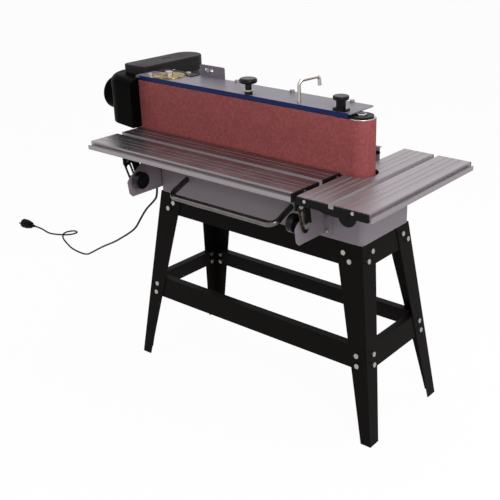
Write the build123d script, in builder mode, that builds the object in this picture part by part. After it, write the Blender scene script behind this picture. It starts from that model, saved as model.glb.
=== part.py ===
"""A horizontal belt sander on a sheet-metal stand.

Millimetres. X runs along the sanding belt, Y away from the operator, Z up.
The origin lies on the floor under the middle of the machine.
"""

import os
from math import cos, radians, sin, tan

from build123d import *

os.makedirs("parts", exist_ok=True)

# Stand: splayed angle legs, flared towards the floor, joined by rails and stretchers
STAND_H = 543.0
LEG_SPLAY_X = 76.0
LEG_SPLAY_Y = 59.0
LEG_SHEET = 2.5
LEG_FRONT_TOP = 84.0
LEG_FRONT_FOOT = 32.0
LEG_SIDE_TOP = 61.0
LEG_SIDE_FOOT = 38.0
RAIL_DEPTH = 63.0
STRETCHER_TOP = 270.0
RAIL_FLANGE = 20.0
RAIL_END_GAP = 2.0
# Bolt places as (distance in from the outer corner, distance below the rail's top edge)
RAIL_BOLTS_FRONT = ((58.0, 27.0), (40.0, 47.0))
RAIL_BOLTS_SIDE = ((40.0, 23.0), (21.0, 44.0))
STRETCHER_BOLTS_FRONT = ((31.0, 23.0), (31.0, 51.0))
STRETCHER_BOLTS_SIDE = ((27.0, 20.0), (27.0, 49.0))
BOLT_R = 4.0
BOLT_AF = 13.0
BOLT_HEAD = 5.5
NUT_H = 6.5
HOLE_GAP = 0.15

# Base cabinet, placed from drum and idler, and its lifting handle
BASE_FROM_DRUM = 188.0
BASE_PAST_IDLER = 74.0
BASE_FORWARD = 20.0
BASE_DEPTH = 222.0
BASE_H = 102.0
BASE_SHEET = 2.5
BASE_CORNER = 12.0
HANDLE_R = 8.0
HANDLE_IN = (112.0, 229.0)
HANDLE_Z = 57.0
HANDLE_REACH = 74.0
HANDLE_DROP = 30.0
HANDLE_INSIDE = 10.0
HANDLE_BEND = 27.0

# Sanding belt on its drum and idler
DRUM_X = -448.0
DRUM_Y = 8.0
DRUM_R = 68.2
BELT_SPAN = 838.0
IDLER_R = 35.5
ROLL_GAP = 0.3
BELT_T = 1.5
BELT_W = 150.0
BELT_RISE = 51.0
ROLL_OVER = 1.5
SHAFT_R = 12.5
RUN_GAP = 0.05

# Tables: hollow extrusions with a slot, fine grooves and a lip on the outer edge
TABLE_RISE = 57.0
TABLE_H = 22.0
TABLE_SKIN = 3.5
TABLE_TO_BELT = 4.0
SLOT_W = 18.0
SLOT_FLOOR = 10.0
LIP_H = 12.0
LIP_D = 2.0
GROOVE_W = 2.5
GROOVE_D = 1.0
GROOVE_PITCH = 20.0
FRONT_TABLE_LAP = 9.0
FRONT_TABLE_SHORT = 41.5
FRONT_PLANK_IN = 71.0
FRONT_PLANK_OUT = 97.0
FRONT_LIP = 12.0
END_TABLE_LAP = 20.0
END_TABLE_REACH = (273.0, 212.0)
END_PLANK_IN = 92.0
END_PLANK_OUT = 97.5
END_LIP = 9.5
NOTCH_GAP = 9.0
END_PLATE_T = 5.0
END_PLATE_DROP = 2.0

# Tilt of the front table: hinge, brackets, arms, struts and clamps
HINGE_IN = 18.0
HINGE_DROP = 16.0
HINGE_R = 4.0
EAR_R = 10.0
CLAMP_OUT = 134.0
CLAMP_DROP = 59.0
CLAMP_R = 4.0
SHOULDER_R = 5.5
BRACKET_T = 3.0
BRACKET_LIFT = 12.0
BRACKET_FLANGE = 24.0
BRACKET_SCREW_Z = (-41.5, -82.0)
ARM_GAP = 1.0
ARM_T = 5.0
STRUT_GAP = 0.5
STRUT_T = 3.0
STRUT_W = 22.0
STRUT_ANGLE = 108.3
STRUT_PIN = 60.0
STRUT_HEAD = 7.0
STRUT_SLOT_W = 11.8
STRUT_END = 20.0
KNOB_R = 25.0
KNOB_T = 20.0
KNOB_STAND = 14.0
HUB_R = 11.0

# Tilt of the end table: pins on a carrier that turn in the lobes of its end plates
PIVOT_IN = 149.0
PIVOT_DROP = 2.0
PIVOT_R = 4.0
PIVOT_END = 3.0
LOBE_R = 25.5
LOBE_UP = 3.0
CARRIER_EAR_R = 9.0
CARRIER_EAR_T = 8.0
CARRIER_HALF = 78.0
CARRIER_FOOT = 56.0
CARRIER_T = 4.0
CARRIER_BOLT = 66.0
GUSSET_HALF = 48.0
GUSSET_T = 6.0
CARRIER_BAR_W = 12.0
CARRIER_BAR_H = 10.0

# Head: box beam inside the belt loop, plate above it, sheet cover on top
HEAD_TO_DRUM = 16.8
HEAD_TO_IDLER = 24.5
HEAD_FEET = (84.0, 224.0)
HEAD_DEPTH = 60.0
HEAD_WALL = 4.0
HEAD_UNDER = 6.0
HEAD_OVER = 5.0
TOP_PLATE_T = 6.0
LOWER_ARM_T = 8.0
PLATEN_T = 6.2
PLATEN_OVER = 15.0
PLATEN_MARGIN = 4.0
COVER_T = 3.0
COVER_GAP = 2.0
COVER_SHORT = 12.0
COVER_LAP = 3.0
COVER_BACK = 44.0
TRIM_T = 1.4
TRIM_H = 12.5
LUG_IN = 158.0
LUG_W = 97.0
LUG_H = 34.0
FLANGE_R = 47.0
FLANGE_T = 3.0
# Places on the cover as (distance from its left end, distance in from its rear edge)
FLANGE_IN = (89.0, 63.0)
REAR_BOLTS_IN = ((311.0, 11.0), (515.0, 13.0), (713.0, 10.0))
SIDE_BOLT_IN = (45.0, 96.0)
TAB_BOLT_IN = (125.0, 19.0)

# Drive: motor behind the drum, pulleys and V-belt above the head plate
MOTOR_BACK = 189.0
MOTOR_R = 75.0
MOTOR_H = 212.0
MOTOR_NECK_R = 41.0
MOTOR_NECK_H = 39.0
MOTOR_BOX = 64.0
ROTOR_R = 40.0
MOTOR_SHAFT_R = 9.5
DRUM_PULLEY_R = 25.0
MOTOR_PULLEY_R = 35.0
VBELT_T = 6.0
VBELT_H = 7.0
PULLEY_LIFT = 3.5
PULLEY_FLANGE = 1.5
GROOVE_GAP = 0.5
DRIVE_COVER_R = 48.0
DRIVE_COVER_END = 36.0
DRIVE_COVER_CORNER = 18.0
DRIVE_COVER_WALL = 2.5
DRIVE_COVER_H = 20.0
PLATE_GAP = 2.5
SKIRT_DROP = 25.0
SKIRT_GAP = 2.0

# Drum guard and its dust port
GUARD_R = 96.0
GUARD_WALL = 3.0
GUARD_ROUND = 24.0
GUARD_FLARE = 22.0
GUARD_PAST_DRUM = 61.0
GUARD_LIFT = 4.5
PORT_R = 50.0
PORT_Z = 70.0
PORT_REACH = 35.0
PORT_COLLAR = 33.0
PORT_RIM = 2.0

# Tension slide with idler axle, spring and lever, and the small controls on the cover
AXLE_R = 8.0
SLIDE_TRAVEL = 9.0
SLIDE_PLATE = 8.0
SLIDE_ARM_T = 4.0
SLIDE_ARM_R = 31.5
ROD_R = 6.0
SPRING_R = 14.0
SPRING_WIRE = 1.5
BULKHEAD_IN = 80.0
LEVER_IN = 124.0
LEVER_BACK = 9.0
LEVER_R = 4.25
LEVER_GRIP_R = 5.0
CRANK = 9.0
CRANK_PIN_R = 3.0
TRACK_IN = 39.0
TRACK_BACK = 15.0
TRACK_KNOB_R = 21.0
TOP_KNOB_IN = 433.0
TOP_KNOB_BACK = 9.0
TOP_KNOB_R = 25.0
STEM_R = 5.0

# Rear sheet with its catch, switch box, cord and plug
REAR_SHEET_IN = 4.0
REAR_SHEET_SHORT = 25.0
REAR_SHEET_TOP = 89.0
REAR_SCREW_IN = (54.0, 144.0)
CATCH_IN = 8.0
CATCH_Z = 74.0
BOX_DEEP = 68.0
BOX_FROM_HINGE = (-34.0, 44.0)
BOX_Z = (23.0, 85.0)
BUTTON_R = 9.0
BUTTON_Z = 62.0
BUTTON_FROM_HINGE = (-14.0, 22.0)
BUTTON_GAP = 0.3
GLAND_R = 9.0
GLAND_H = 18.0
CORD_R = 3.25
CORD_IN = 24.0
CORD_FROM_HINGE = -13.0
PLUG_R = 19.0
PLUG_L = 46.0

# Places that follow from the sizes above
IDLER_X = DRUM_X + BELT_SPAN
BASE_LEFT = DRUM_X + BASE_FROM_DRUM
BASE_RIGHT = IDLER_X + BASE_PAST_IDLER
STAND_X = (BASE_LEFT + BASE_RIGHT) / 2
STAND_Y = DRUM_Y - BASE_FORWARD
TOP_HALF_X = (BASE_RIGHT - BASE_LEFT) / 2
TOP_HALF_Y = BASE_DEPTH / 2
FOOT_HALF_X = TOP_HALF_X + LEG_SPLAY_X
FOOT_HALF_Y = TOP_HALF_Y + LEG_SPLAY_Y
BASE_FRONT = STAND_Y - TOP_HALF_Y
BASE_REAR = STAND_Y + TOP_HALF_Y
BASE_TOP = STAND_H + BASE_H
TABLE_TOP = BASE_TOP + TABLE_RISE
TABLE_BOTTOM = TABLE_TOP - TABLE_H
SLOT_D = TABLE_H - SLOT_FLOOR
BELT_Z0 = BASE_TOP + BELT_RISE
BELT_Z1 = BELT_Z0 + BELT_W
DRUM_OUT = DRUM_R + ROLL_GAP + BELT_T
IDLER_OUT = IDLER_R + ROLL_GAP + BELT_T
IDLER_Y = DRUM_Y - DRUM_OUT + IDLER_OUT
BELT_FRONT = DRUM_Y - DRUM_OUT
GUARD_X1 = DRUM_X + GUARD_PAST_DRUM
PORT_END = DRUM_X - GUARD_R - PORT_REACH
MOTOR_Y = DRUM_Y + MOTOR_BACK
FRONT_TABLE_X0 = GUARD_X1 - FRONT_TABLE_LAP
FRONT_TABLE_X1 = IDLER_X - FRONT_TABLE_SHORT
END_TABLE_X0 = IDLER_X - END_TABLE_LAP
END_TABLE_Y0 = DRUM_Y - END_TABLE_REACH[0]
END_TABLE_Y1 = DRUM_Y + END_TABLE_REACH[1]
TABLE_REAR = BELT_FRONT - TABLE_TO_BELT
TABLE_FRONT = TABLE_REAR - FRONT_PLANK_IN - SLOT_W - FRONT_PLANK_OUT - FRONT_LIP
HINGE_Y = TABLE_REAR - HINGE_IN
HINGE_Z = TABLE_BOTTOM - HINGE_DROP
CLAMP_Y = HINGE_Y - CLAMP_OUT
CLAMP_Z = HINGE_Z - CLAMP_DROP
STRUT_Y = CLAMP_Y + STRUT_PIN * cos(radians(STRUT_ANGLE))
STRUT_Z = CLAMP_Z + STRUT_PIN * sin(radians(STRUT_ANGLE))
PIVOT_X = END_TABLE_X0 + PIVOT_IN
PIVOT_Z = TABLE_BOTTOM - PIVOT_DROP
LOBE_Z = TABLE_BOTTOM + LOBE_UP
PLATEN_FRONT = BELT_FRONT + BELT_T + ROLL_GAP
HEAD_X0 = DRUM_X + DRUM_R + HEAD_TO_DRUM
HEAD_X1 = IDLER_X - IDLER_R - HEAD_TO_IDLER
PLATEN_X1 = HEAD_X1 + PLATEN_OVER
HEAD_Y0 = PLATEN_FRONT + PLATEN_T
HEAD_Y1 = HEAD_Y0 + HEAD_DEPTH
HEAD_Z0 = BELT_Z0 - HEAD_UNDER
HEAD_Z1 = BELT_Z1 + HEAD_OVER
PLATE_TOP = HEAD_Z1 + TOP_PLATE_T
COVER_TOP = PLATE_TOP + COVER_T
COVER_X0 = DRUM_X + DRIVE_COVER_R + COVER_GAP
COVER_X1 = IDLER_X - COVER_SHORT
COVER_FRONT = BELT_FRONT + COVER_LAP
COVER_REAR = HEAD_Y1 + COVER_BACK
LUG_X = (COVER_X0 + LUG_IN, COVER_X0 + LUG_IN + LUG_W)
FLANGE_X, FLANGE_Y = COVER_X0 + FLANGE_IN[0], COVER_REAR - FLANGE_IN[1]
REAR_BOLTS = [(COVER_X0 + along, COVER_REAR - inward) for along, inward in REAR_BOLTS_IN]
SIDE_BOLT = (COVER_X0 + SIDE_BOLT_IN[0], COVER_REAR - SIDE_BOLT_IN[1])
TAB_BOLT = (COVER_X0 + TAB_BOLT_IN[0], COVER_REAR - TAB_BOLT_IN[1])
BULKHEAD_X = HEAD_X1 - BULKHEAD_IN
LEVER_X, LEVER_Y = HEAD_X1 - LEVER_IN, HEAD_Y0 + LEVER_BACK
TRACK_X, TRACK_Y = COVER_X1 - TRACK_IN, COVER_FRONT + TRACK_BACK
TOP_KNOB_X, TOP_KNOB_Y = COVER_X0 + TOP_KNOB_IN, COVER_FRONT + TOP_KNOB_BACK
REAR_SHEET_X = (BASE_LEFT + REAR_SHEET_IN, IDLER_X - REAR_SHEET_SHORT)
ROLL_Z0 = BELT_Z0 - ROLL_OVER
ROLL_Z1 = BELT_Z1 + ROLL_OVER
PULLEY_Z = PLATE_TOP + PULLEY_LIFT
PULLEY_H = VBELT_H + 2 * (PULLEY_FLANGE + GROOVE_GAP)
MID_Y = HEAD_Y0 + HEAD_DEPTH / 2
ROD_Z = (BELT_Z0 + BELT_Z1) / 2
MID_HEAD = (HEAD_Y0 + HEAD_WALL, HEAD_Y1 - HEAD_WALL)

# Outer face of each bracket plate, and the way that points away from the machine
RIGHT_SIDE = (FRONT_TABLE_X1 - ARM_GAP, 1)
LEFT_SIDE = (BASE_LEFT - BRACKET_T, -1)


def keep(builder, name):
    """Label a finished piece and write its STEP file."""
    builder.part.label = name
    export_step(builder.part, f"parts/{name}.step")


def block(x, y, z, mode=Mode.ADD):
    """A box between two values along each axis."""
    centre = tuple((low + high) / 2 for low, high in (x, y, z))
    with Locations(centre):
        Box(abs(x[1] - x[0]), abs(y[1] - y[0]), abs(z[1] - z[0]), mode=mode)


def round_x(radius, x0, x1, y, z, mode=Mode.ADD):
    """A cylinder along X."""
    with Locations(((x0 + x1) / 2, y, z)):
        Cylinder(radius, abs(x1 - x0), rotation=(0, 90, 0), mode=mode)


def round_y(radius, x, y0, y1, z, mode=Mode.ADD):
    """A cylinder along Y."""
    with Locations((x, (y0 + y1) / 2, z)):
        Cylinder(radius, abs(y1 - y0), rotation=(90, 0, 0), mode=mode)


def round_z(radius, x, y, z0, z1, mode=Mode.ADD):
    """A cylinder along Z."""
    with Locations((x, y, (z0 + z1) / 2)):
        Cylinder(radius, abs(z1 - z0), mode=mode)


def between(foot, top, z):
    """A stand size at height z, from its value at the floor and at the top."""
    return foot + (top - foot) * z / STAND_H


def half_x(z):
    return between(FOOT_HALF_X, TOP_HALF_X, z)


def half_y(z):
    return between(FOOT_HALF_Y, TOP_HALF_Y, z)


# Stand legs: angle sections that widen upwards, bored for their bolts
def leg_outline(side_x, side_y, z):
    """The L-shaped section of one leg at height z."""
    x, y = half_x(z), half_y(z)
    inner_x = x - between(LEG_FRONT_FOOT, LEG_FRONT_TOP, z)
    inner_y = y - between(LEG_SIDE_FOOT, LEG_SIDE_TOP, z)
    corner = (x - LEG_SHEET, y - LEG_SHEET)
    points = [
        (x, y),
        (inner_x, y),
        (inner_x, corner[1]),
        corner,
        (corner[0], inner_y),
        (x, inner_y),
    ]
    return [(STAND_X + side_x * px, STAND_Y + side_y * py) for px, py in points]


def bolt_planes(side_x, side_y):
    """Planes on the outer faces of one leg, one for each bolt, facing outwards."""
    lean_x = (FOOT_HALF_X - TOP_HALF_X) / STAND_H
    lean_y = (FOOT_HALF_Y - TOP_HALF_Y) / STAND_H
    planes = []
    for top, front, side in (
        (STAND_H, RAIL_BOLTS_FRONT, RAIL_BOLTS_SIDE),
        (STRETCHER_TOP, STRETCHER_BOLTS_FRONT, STRETCHER_BOLTS_SIDE),
    ):
        for inset, drop in front:
            z = top - drop
            x = STAND_X + side_x * (half_x(z) - inset)
            origin = (x, STAND_Y + side_y * half_y(z), z)
            planes.append(Plane(origin, x_dir=(1, 0, 0), z_dir=(0, side_y, lean_y)))
        for inset, drop in side:
            z = top - drop
            y = STAND_Y + side_y * (half_y(z) - inset)
            origin = (STAND_X + side_x * half_x(z), y, z)
            planes.append(Plane(origin, x_dir=(0, 1, 0), z_dir=(side_x, 0, lean_x)))
    return planes


CORNERS = {
    "front_left": (-1, -1),
    "front_right": (1, -1),
    "rear_left": (-1, 1),
    "rear_right": (1, 1),
}
ALL_BOLTS = [plane for corner in CORNERS.values() for plane in bolt_planes(*corner)]

for name, corner in CORNERS.items():
    with BuildPart() as stand_leg:
        for z in (0, STAND_H):
            with BuildSketch(Plane.XY.offset(z)):
                with BuildLine():
                    Polyline(*leg_outline(*corner, z), close=True)
                make_face()
        loft(ruled=True)
        with BuildSketch(*bolt_planes(*corner)):
            Circle(BOLT_R + HOLE_GAP)
        extrude(amount=2 * LEG_SHEET, both=True, mode=Mode.SUBTRACT)
    keep(stand_leg, f"stand_leg_{name}")


# Rails and stretchers: folded strips that lie inside the leg flanges
def build_rail(along_x, side, top):
    """A leaning strip with a flange folded inwards along its top edge."""
    half = half_y if along_x else half_x
    across = half_x if along_x else half_y
    middle = STAND_Y if along_x else STAND_X
    length = across(top) - 2 * LEG_SHEET - RAIL_END_GAP
    flange_length = length if along_x else length - RAIL_FLANGE
    plane = Plane.YZ.offset(STAND_X) if along_x else Plane.XZ.offset(-STAND_Y)
    low = top - RAIL_DEPTH
    strip = [
        (middle + side * (half(low) - LEG_SHEET), low),
        (middle + side * (half(top) - LEG_SHEET), top),
        (middle + side * (half(top) - 2 * LEG_SHEET), top),
        (middle + side * (half(low) - 2 * LEG_SHEET), low),
    ]
    fold = top - LEG_SHEET
    flange = [
        (middle + side * (half(top) - 2 * LEG_SHEET), top),
        (middle + side * (half(top) - 2 * LEG_SHEET - RAIL_FLANGE), top),
        (middle + side * (half(top) - 2 * LEG_SHEET - RAIL_FLANGE), fold),
        (middle + side * (half(fold) - 2 * LEG_SHEET), fold),
    ]
    with BuildPart() as rail:
        with BuildSketch(plane):
            with BuildLine():
                Polyline(*strip, close=True)
            make_face()
        extrude(amount=length, both=True)
        with BuildSketch(plane):
            with BuildLine():
                Polyline(*flange, close=True)
            make_face()
        extrude(amount=flange_length, both=True)
        with BuildSketch(*ALL_BOLTS):
            Circle(BOLT_R + HOLE_GAP)
        extrude(amount=4 * LEG_SHEET, both=True, mode=Mode.SUBTRACT)
    return rail


for kind, top in (("rail", STAND_H), ("stretcher", STRETCHER_TOP)):
    keep(build_rail(True, -1, top), f"stand_{kind}_front")
    keep(build_rail(True, 1, top), f"stand_{kind}_rear")
    keep(build_rail(False, -1, top), f"stand_{kind}_left")
    keep(build_rail(False, 1, top), f"stand_{kind}_right")

# Hex bolts with their nuts, drawn tight
GRIP = 2 * LEG_SHEET
with BuildPart() as stand_bolts:
    with BuildSketch(*ALL_BOLTS):
        RegularPolygon(BOLT_AF / 2, 6, major_radius=False)
    extrude(amount=BOLT_HEAD)
    with BuildSketch(*ALL_BOLTS):
        Circle(BOLT_R)
    extrude(amount=-(GRIP + NUT_H + 2))
    with BuildSketch(*[plane.offset(-GRIP) for plane in ALL_BOLTS]):
        RegularPolygon(BOLT_AF / 2, 6, major_radius=False)
    extrude(amount=-NUT_H)
keep(stand_bolts, "stand_bolts")

# Lifting handle: a bent tube whose ends pass through the front of the base
HANDLE_TOP = STAND_H + HANDLE_Z
HANDLE_FRONT = BASE_FRONT - HANDLE_REACH
HANDLE_LEFT = BASE_LEFT + HANDLE_IN[0]
HANDLE_RIGHT = BASE_RIGHT - HANDLE_IN[1]
HANDLE_LEAN = HANDLE_INSIDE * HANDLE_DROP / HANDLE_REACH
handle_points = [
    (HANDLE_LEFT, BASE_FRONT + HANDLE_INSIDE, HANDLE_TOP + HANDLE_LEAN),
    (HANDLE_LEFT, HANDLE_FRONT, HANDLE_TOP - HANDLE_DROP),
    (HANDLE_RIGHT, HANDLE_FRONT, HANDLE_TOP - HANDLE_DROP),
    (HANDLE_RIGHT, BASE_FRONT + HANDLE_INSIDE, HANDLE_TOP + HANDLE_LEAN),
]
handle_way = (0, -HANDLE_REACH, -HANDLE_DROP)
with BuildPart() as lift_handle:
    with BuildLine():
        FilletPolyline(*handle_points, radius=HANDLE_BEND)
    with BuildSketch(Plane(handle_points[0], x_dir=(1, 0, 0), z_dir=handle_way)):
        Circle(HANDLE_R)
    sweep()
keep(lift_handle, "lift_handle")

# Base cabinet: a folded box, open underneath, bored for handle and bracket screws
FLANGE_SCREW_X = RIGHT_SIDE[0] + BRACKET_FLANGE / 3
flange_screws = [(FLANGE_SCREW_X, BASE_TOP + z) for z in BRACKET_SCREW_Z]
side_screws = [(HINGE_Y + 9, STAND_H + BRACKET_LIFT + 6), (HINGE_Y + 9, BASE_TOP - 9)]
rear_screw_x = (BASE_LEFT + REAR_SCREW_IN[0], STAND_X, BASE_RIGHT - REAR_SCREW_IN[1])
rear_screws = [(x, STAND_H + 45) for x in rear_screw_x]
SCREW_R = 2.5
CARRIER_X = BASE_RIGHT - CARRIER_FOOT / 2
carrier_bolts = [(CARRIER_X, STAND_Y + side * CARRIER_BOLT) for side in (-1, 1)]
with BuildPart() as base_cabinet:
    block((BASE_LEFT, BASE_RIGHT), (BASE_FRONT, BASE_REAR), (STAND_H, BASE_TOP))
    fillet(base_cabinet.edges().filter_by(Axis.Z), BASE_CORNER)
    floor_face = base_cabinet.faces().sort_by(Axis.Z)[0]
    offset(amount=-BASE_SHEET, openings=floor_face)
    for end in (handle_points[0], handle_points[-1]):
        with BuildSketch(Plane(end, x_dir=(1, 0, 0), z_dir=handle_way)):
            Circle(HANDLE_R + HOLE_GAP)
        extrude(amount=2 * HANDLE_INSIDE + 5, mode=Mode.SUBTRACT)
    for x, z in flange_screws:
        round_y(SCREW_R + HOLE_GAP, x, BASE_FRONT - 1, BASE_FRONT + 5, z, Mode.SUBTRACT)
    for y, z in side_screws:
        round_x(SCREW_R + HOLE_GAP, BASE_LEFT - 1, BASE_LEFT + 5, y, z, Mode.SUBTRACT)
    for x, z in rear_screws:
        round_y(SCREW_R + HOLE_GAP, x, BASE_REAR - 5, BASE_REAR + 1, z, Mode.SUBTRACT)
    for x, y in carrier_bolts:
        round_z(BOLT_R + HOLE_GAP, x, y, BASE_TOP - 5, BASE_TOP + 1, Mode.SUBTRACT)
keep(base_cabinet, "base_cabinet")

# Table brackets: plates that reach forward for the clamp and up for the hinge
BRACKET_Z0 = STAND_H + BRACKET_LIFT
bracket_nose = [
    (CLAMP_Y - 14, BRACKET_Z0),
    (CLAMP_Y - 24, BRACKET_Z0 + 11),
    (CLAMP_Y - 28, CLAMP_Z - 4),
    (CLAMP_Y - 22, CLAMP_Z + 4),
    (CLAMP_Y + 26, CLAMP_Z + 39),
    (BASE_FRONT - 27, BASE_TOP + 5),
    (HINGE_Y - EAR_R, BASE_TOP + 7),
    (HINGE_Y - EAR_R, HINGE_Z),
    (HINGE_Y + EAR_R, HINGE_Z),
]
left_tail = [(HINGE_Y + 24, BASE_TOP - 3), (HINGE_Y + 24, BRACKET_Z0)]
right_tail = [
    (HINGE_Y + EAR_R, BASE_TOP + 1),
    (BASE_FRONT, BASE_TOP + 1),
    (BASE_FRONT, BRACKET_Z0),
]


def bracket_plate(side, outline):
    """One bracket plate with its hinge ear and bores, on the inside of its outer face."""
    outer, away = side
    with BuildPart() as bracket:
        with BuildSketch(Plane.YZ.offset(outer)):
            with BuildLine():
                Polyline(*outline, close=True)
            make_face()
            with Locations((HINGE_Y, HINGE_Z)):
                Circle(EAR_R)
                Circle(HINGE_R + HOLE_GAP, mode=Mode.SUBTRACT)
            with Locations((CLAMP_Y, CLAMP_Z)):
                Circle(CLAMP_R + HOLE_GAP, mode=Mode.SUBTRACT)
        extrude(amount=-away * BRACKET_T)
        if side == RIGHT_SIDE:
            block(
                (outer - BRACKET_T, outer + BRACKET_FLANGE),
                (BASE_FRONT - BRACKET_T, BASE_FRONT),
                (BRACKET_Z0, BASE_TOP - 5),
            )
            for x, z in flange_screws:
                round_y(SCREW_R + HOLE_GAP, x, BASE_FRONT - 9, BASE_FRONT + 1, z, Mode.SUBTRACT)
        else:
            for y, z in side_screws:
                round_x(SCREW_R + HOLE_GAP, outer - 1, BASE_LEFT + 1, y, z, Mode.SUBTRACT)
    return bracket


keep(bracket_plate(LEFT_SIDE, bracket_nose + left_tail), "table_bracket_left")
keep(bracket_plate(RIGHT_SIDE, bracket_nose + right_tail), "table_bracket_right")


# Tables: one section for both, measured from the edge next to the belt
def table_section(plank_in, plank_out, lip):
    """Outline and hollow cells of a table as (distance from the belt side, height)."""
    slot_end = plank_in + SLOT_W
    width = slot_end + plank_out
    floor = TABLE_BOTTOM + TABLE_SKIN
    slot_floor = TABLE_TOP - SLOT_D
    lip_top = TABLE_BOTTOM + LIP_H
    outline = [
        (0, TABLE_BOTTOM),
        (0, TABLE_TOP),
        (plank_in, TABLE_TOP),
        (plank_in, slot_floor),
        (slot_end, slot_floor),
        (slot_end, TABLE_TOP),
        (width, TABLE_TOP),
        (width, lip_top - LIP_D),
        (width + lip - TABLE_SKIN, lip_top - LIP_D),
        (width + lip - TABLE_SKIN, lip_top),
        (width + lip, lip_top),
        (width + lip, TABLE_BOTTOM),
    ]
    ceiling = TABLE_TOP - TABLE_SKIN
    cells = [
        (TABLE_SKIN, plank_in - TABLE_SKIN, floor, ceiling),
        (slot_end + TABLE_SKIN, width - TABLE_SKIN, floor, ceiling),
        (plank_in, slot_end, floor, slot_floor - TABLE_SKIN),
    ]
    grooves = []
    for start, plank in ((0, plank_in), (slot_end, plank_out)):
        count = int(plank / GROOVE_PITCH - 1)
        first = (plank - (count - 1) * GROOVE_PITCH) / 2
        grooves += [start + first + i * GROOVE_PITCH for i in range(count)]
    return outline, cells, grooves


def build_table(plane, place, plank_in, plank_out, lip, length):
    """A table extruded from its section; place turns a distance into a plane value."""
    outline, cells, grooves = table_section(plank_in, plank_out, lip)
    with BuildPart() as table:
        with BuildSketch(plane):
            with BuildLine():
                Polyline(*[(place(u), z) for u, z in outline], close=True)
            make_face()
            for u0, u1, z0, z1 in cells:
                with Locations((place((u0 + u1) / 2), (z0 + z1) / 2)):
                    Rectangle(u1 - u0, z1 - z0, mode=Mode.SUBTRACT)
            with Locations(*[(place(u), TABLE_TOP) for u in grooves]):
                Rectangle(GROOVE_W, 2 * GROOVE_D, mode=Mode.SUBTRACT)
        extrude(amount=length)
    return table


front_table = build_table(
    Plane.YZ.offset(FRONT_TABLE_X0),
    lambda u: TABLE_REAR - u,
    FRONT_PLANK_IN,
    FRONT_PLANK_OUT,
    FRONT_LIP,
    FRONT_TABLE_X1 - FRONT_TABLE_X0,
)
keep(front_table, "front_table")

# The end table gets a round notch for the belt and a window over each carrier ear
NOTCH_R = IDLER_OUT + NOTCH_GAP
WINDOW = (PIVOT_X - CARRIER_EAR_R - 7, PIVOT_X + CARRIER_EAR_R + 7)
EAR_Y = (END_TABLE_Y0 + 7, END_TABLE_Y1 - 7 - CARRIER_EAR_T)
end_extrusion = build_table(
    Plane.XZ.offset(-END_TABLE_Y1),
    lambda u: END_TABLE_X0 + u,
    END_PLANK_IN,
    END_PLANK_OUT,
    END_LIP,
    END_TABLE_Y1 - END_TABLE_Y0,
)
with BuildPart() as end_table:
    add(end_extrusion.part)
    with BuildSketch(Plane.XY.offset(TABLE_BOTTOM - 1)):
        with Locations((IDLER_X, IDLER_Y)):
            Circle(NOTCH_R)
        with Locations((IDLER_X - NOTCH_R / 2, IDLER_Y)):
            Rectangle(NOTCH_R, 2 * NOTCH_R)
    extrude(amount=TABLE_H + 2, mode=Mode.SUBTRACT)
    for y in EAR_Y:
        near = (END_TABLE_Y0 - 1, y + CARRIER_EAR_T + 4)
        far = (y - 4, END_TABLE_Y1 + 1)
        reach = near if y == EAR_Y[0] else far
        low = (TABLE_BOTTOM - 1, TABLE_BOTTOM + TABLE_SKIN)
        block(WINDOW, reach, low, Mode.SUBTRACT)
keep(end_table, "end_table")

# End plates of the end table: a bar with a half-round lobe around the pivot
END_TABLE_X1 = END_TABLE_X0 + END_PLANK_IN + SLOT_W + END_PLANK_OUT
END_SLOT_X = END_TABLE_X0 + END_PLANK_IN + SLOT_W / 2
PLATE_EDGE = TABLE_TOP - END_PLATE_DROP
end_plate_screws = [(END_TABLE_X0 + 26, TABLE_TOP - 8), (END_TABLE_X1 - 42, TABLE_TOP - 7)]
end_plate_outline = [
    (END_TABLE_X0, PLATE_EDGE),
    (END_TABLE_X1, PLATE_EDGE),
    (END_TABLE_X1, TABLE_BOTTOM),
    (PIVOT_X + LOBE_R, TABLE_BOTTOM),
    (PIVOT_X, TABLE_BOTTOM - 5),
    (PIVOT_X - 60, TABLE_BOTTOM - 5),
    (PIVOT_X - 82, TABLE_BOTTOM),
    (END_TABLE_X0, TABLE_BOTTOM),
]
for name, plane_y in (("front", END_TABLE_Y0), ("rear", END_TABLE_Y1 + END_PLATE_T)):
    with BuildPart() as end_plate:
        with BuildSketch(Plane.XZ.offset(-plane_y)):
            with BuildLine():
                Polyline(*end_plate_outline, close=True)
            make_face()
            with Locations((PIVOT_X, LOBE_Z)):
                Circle(LOBE_R)
            with Locations((PIVOT_X, PLATE_EDGE + LOBE_R)):
                Rectangle(2 * LOBE_R, 2 * LOBE_R, mode=Mode.SUBTRACT)
            with Locations((END_SLOT_X, TABLE_TOP)):
                Rectangle(SLOT_W, 2 * SLOT_D, mode=Mode.SUBTRACT)
            with Locations((PIVOT_X, PIVOT_Z)):
                Circle(PIVOT_R + RUN_GAP, mode=Mode.SUBTRACT)
            with Locations(*end_plate_screws):
                Circle(SCREW_R, mode=Mode.SUBTRACT)
        extrude(amount=END_PLATE_T)
    keep(end_plate, f"end_table_plate_{name}")

# Cap screws in the end plates
PLATE_FACES = ((END_TABLE_Y0 - END_PLATE_T, -1), (END_TABLE_Y1 + END_PLATE_T, 1))
with BuildPart() as end_table_screws:
    for face, away in PLATE_FACES:
        for x, z in end_plate_screws:
            round_y(SCREW_R, x, face, face - away * END_PLATE_T, z)
            round_y(4.5, x, face, face + away * 2.5, z)
keep(end_table_screws, "end_table_screws")

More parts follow.
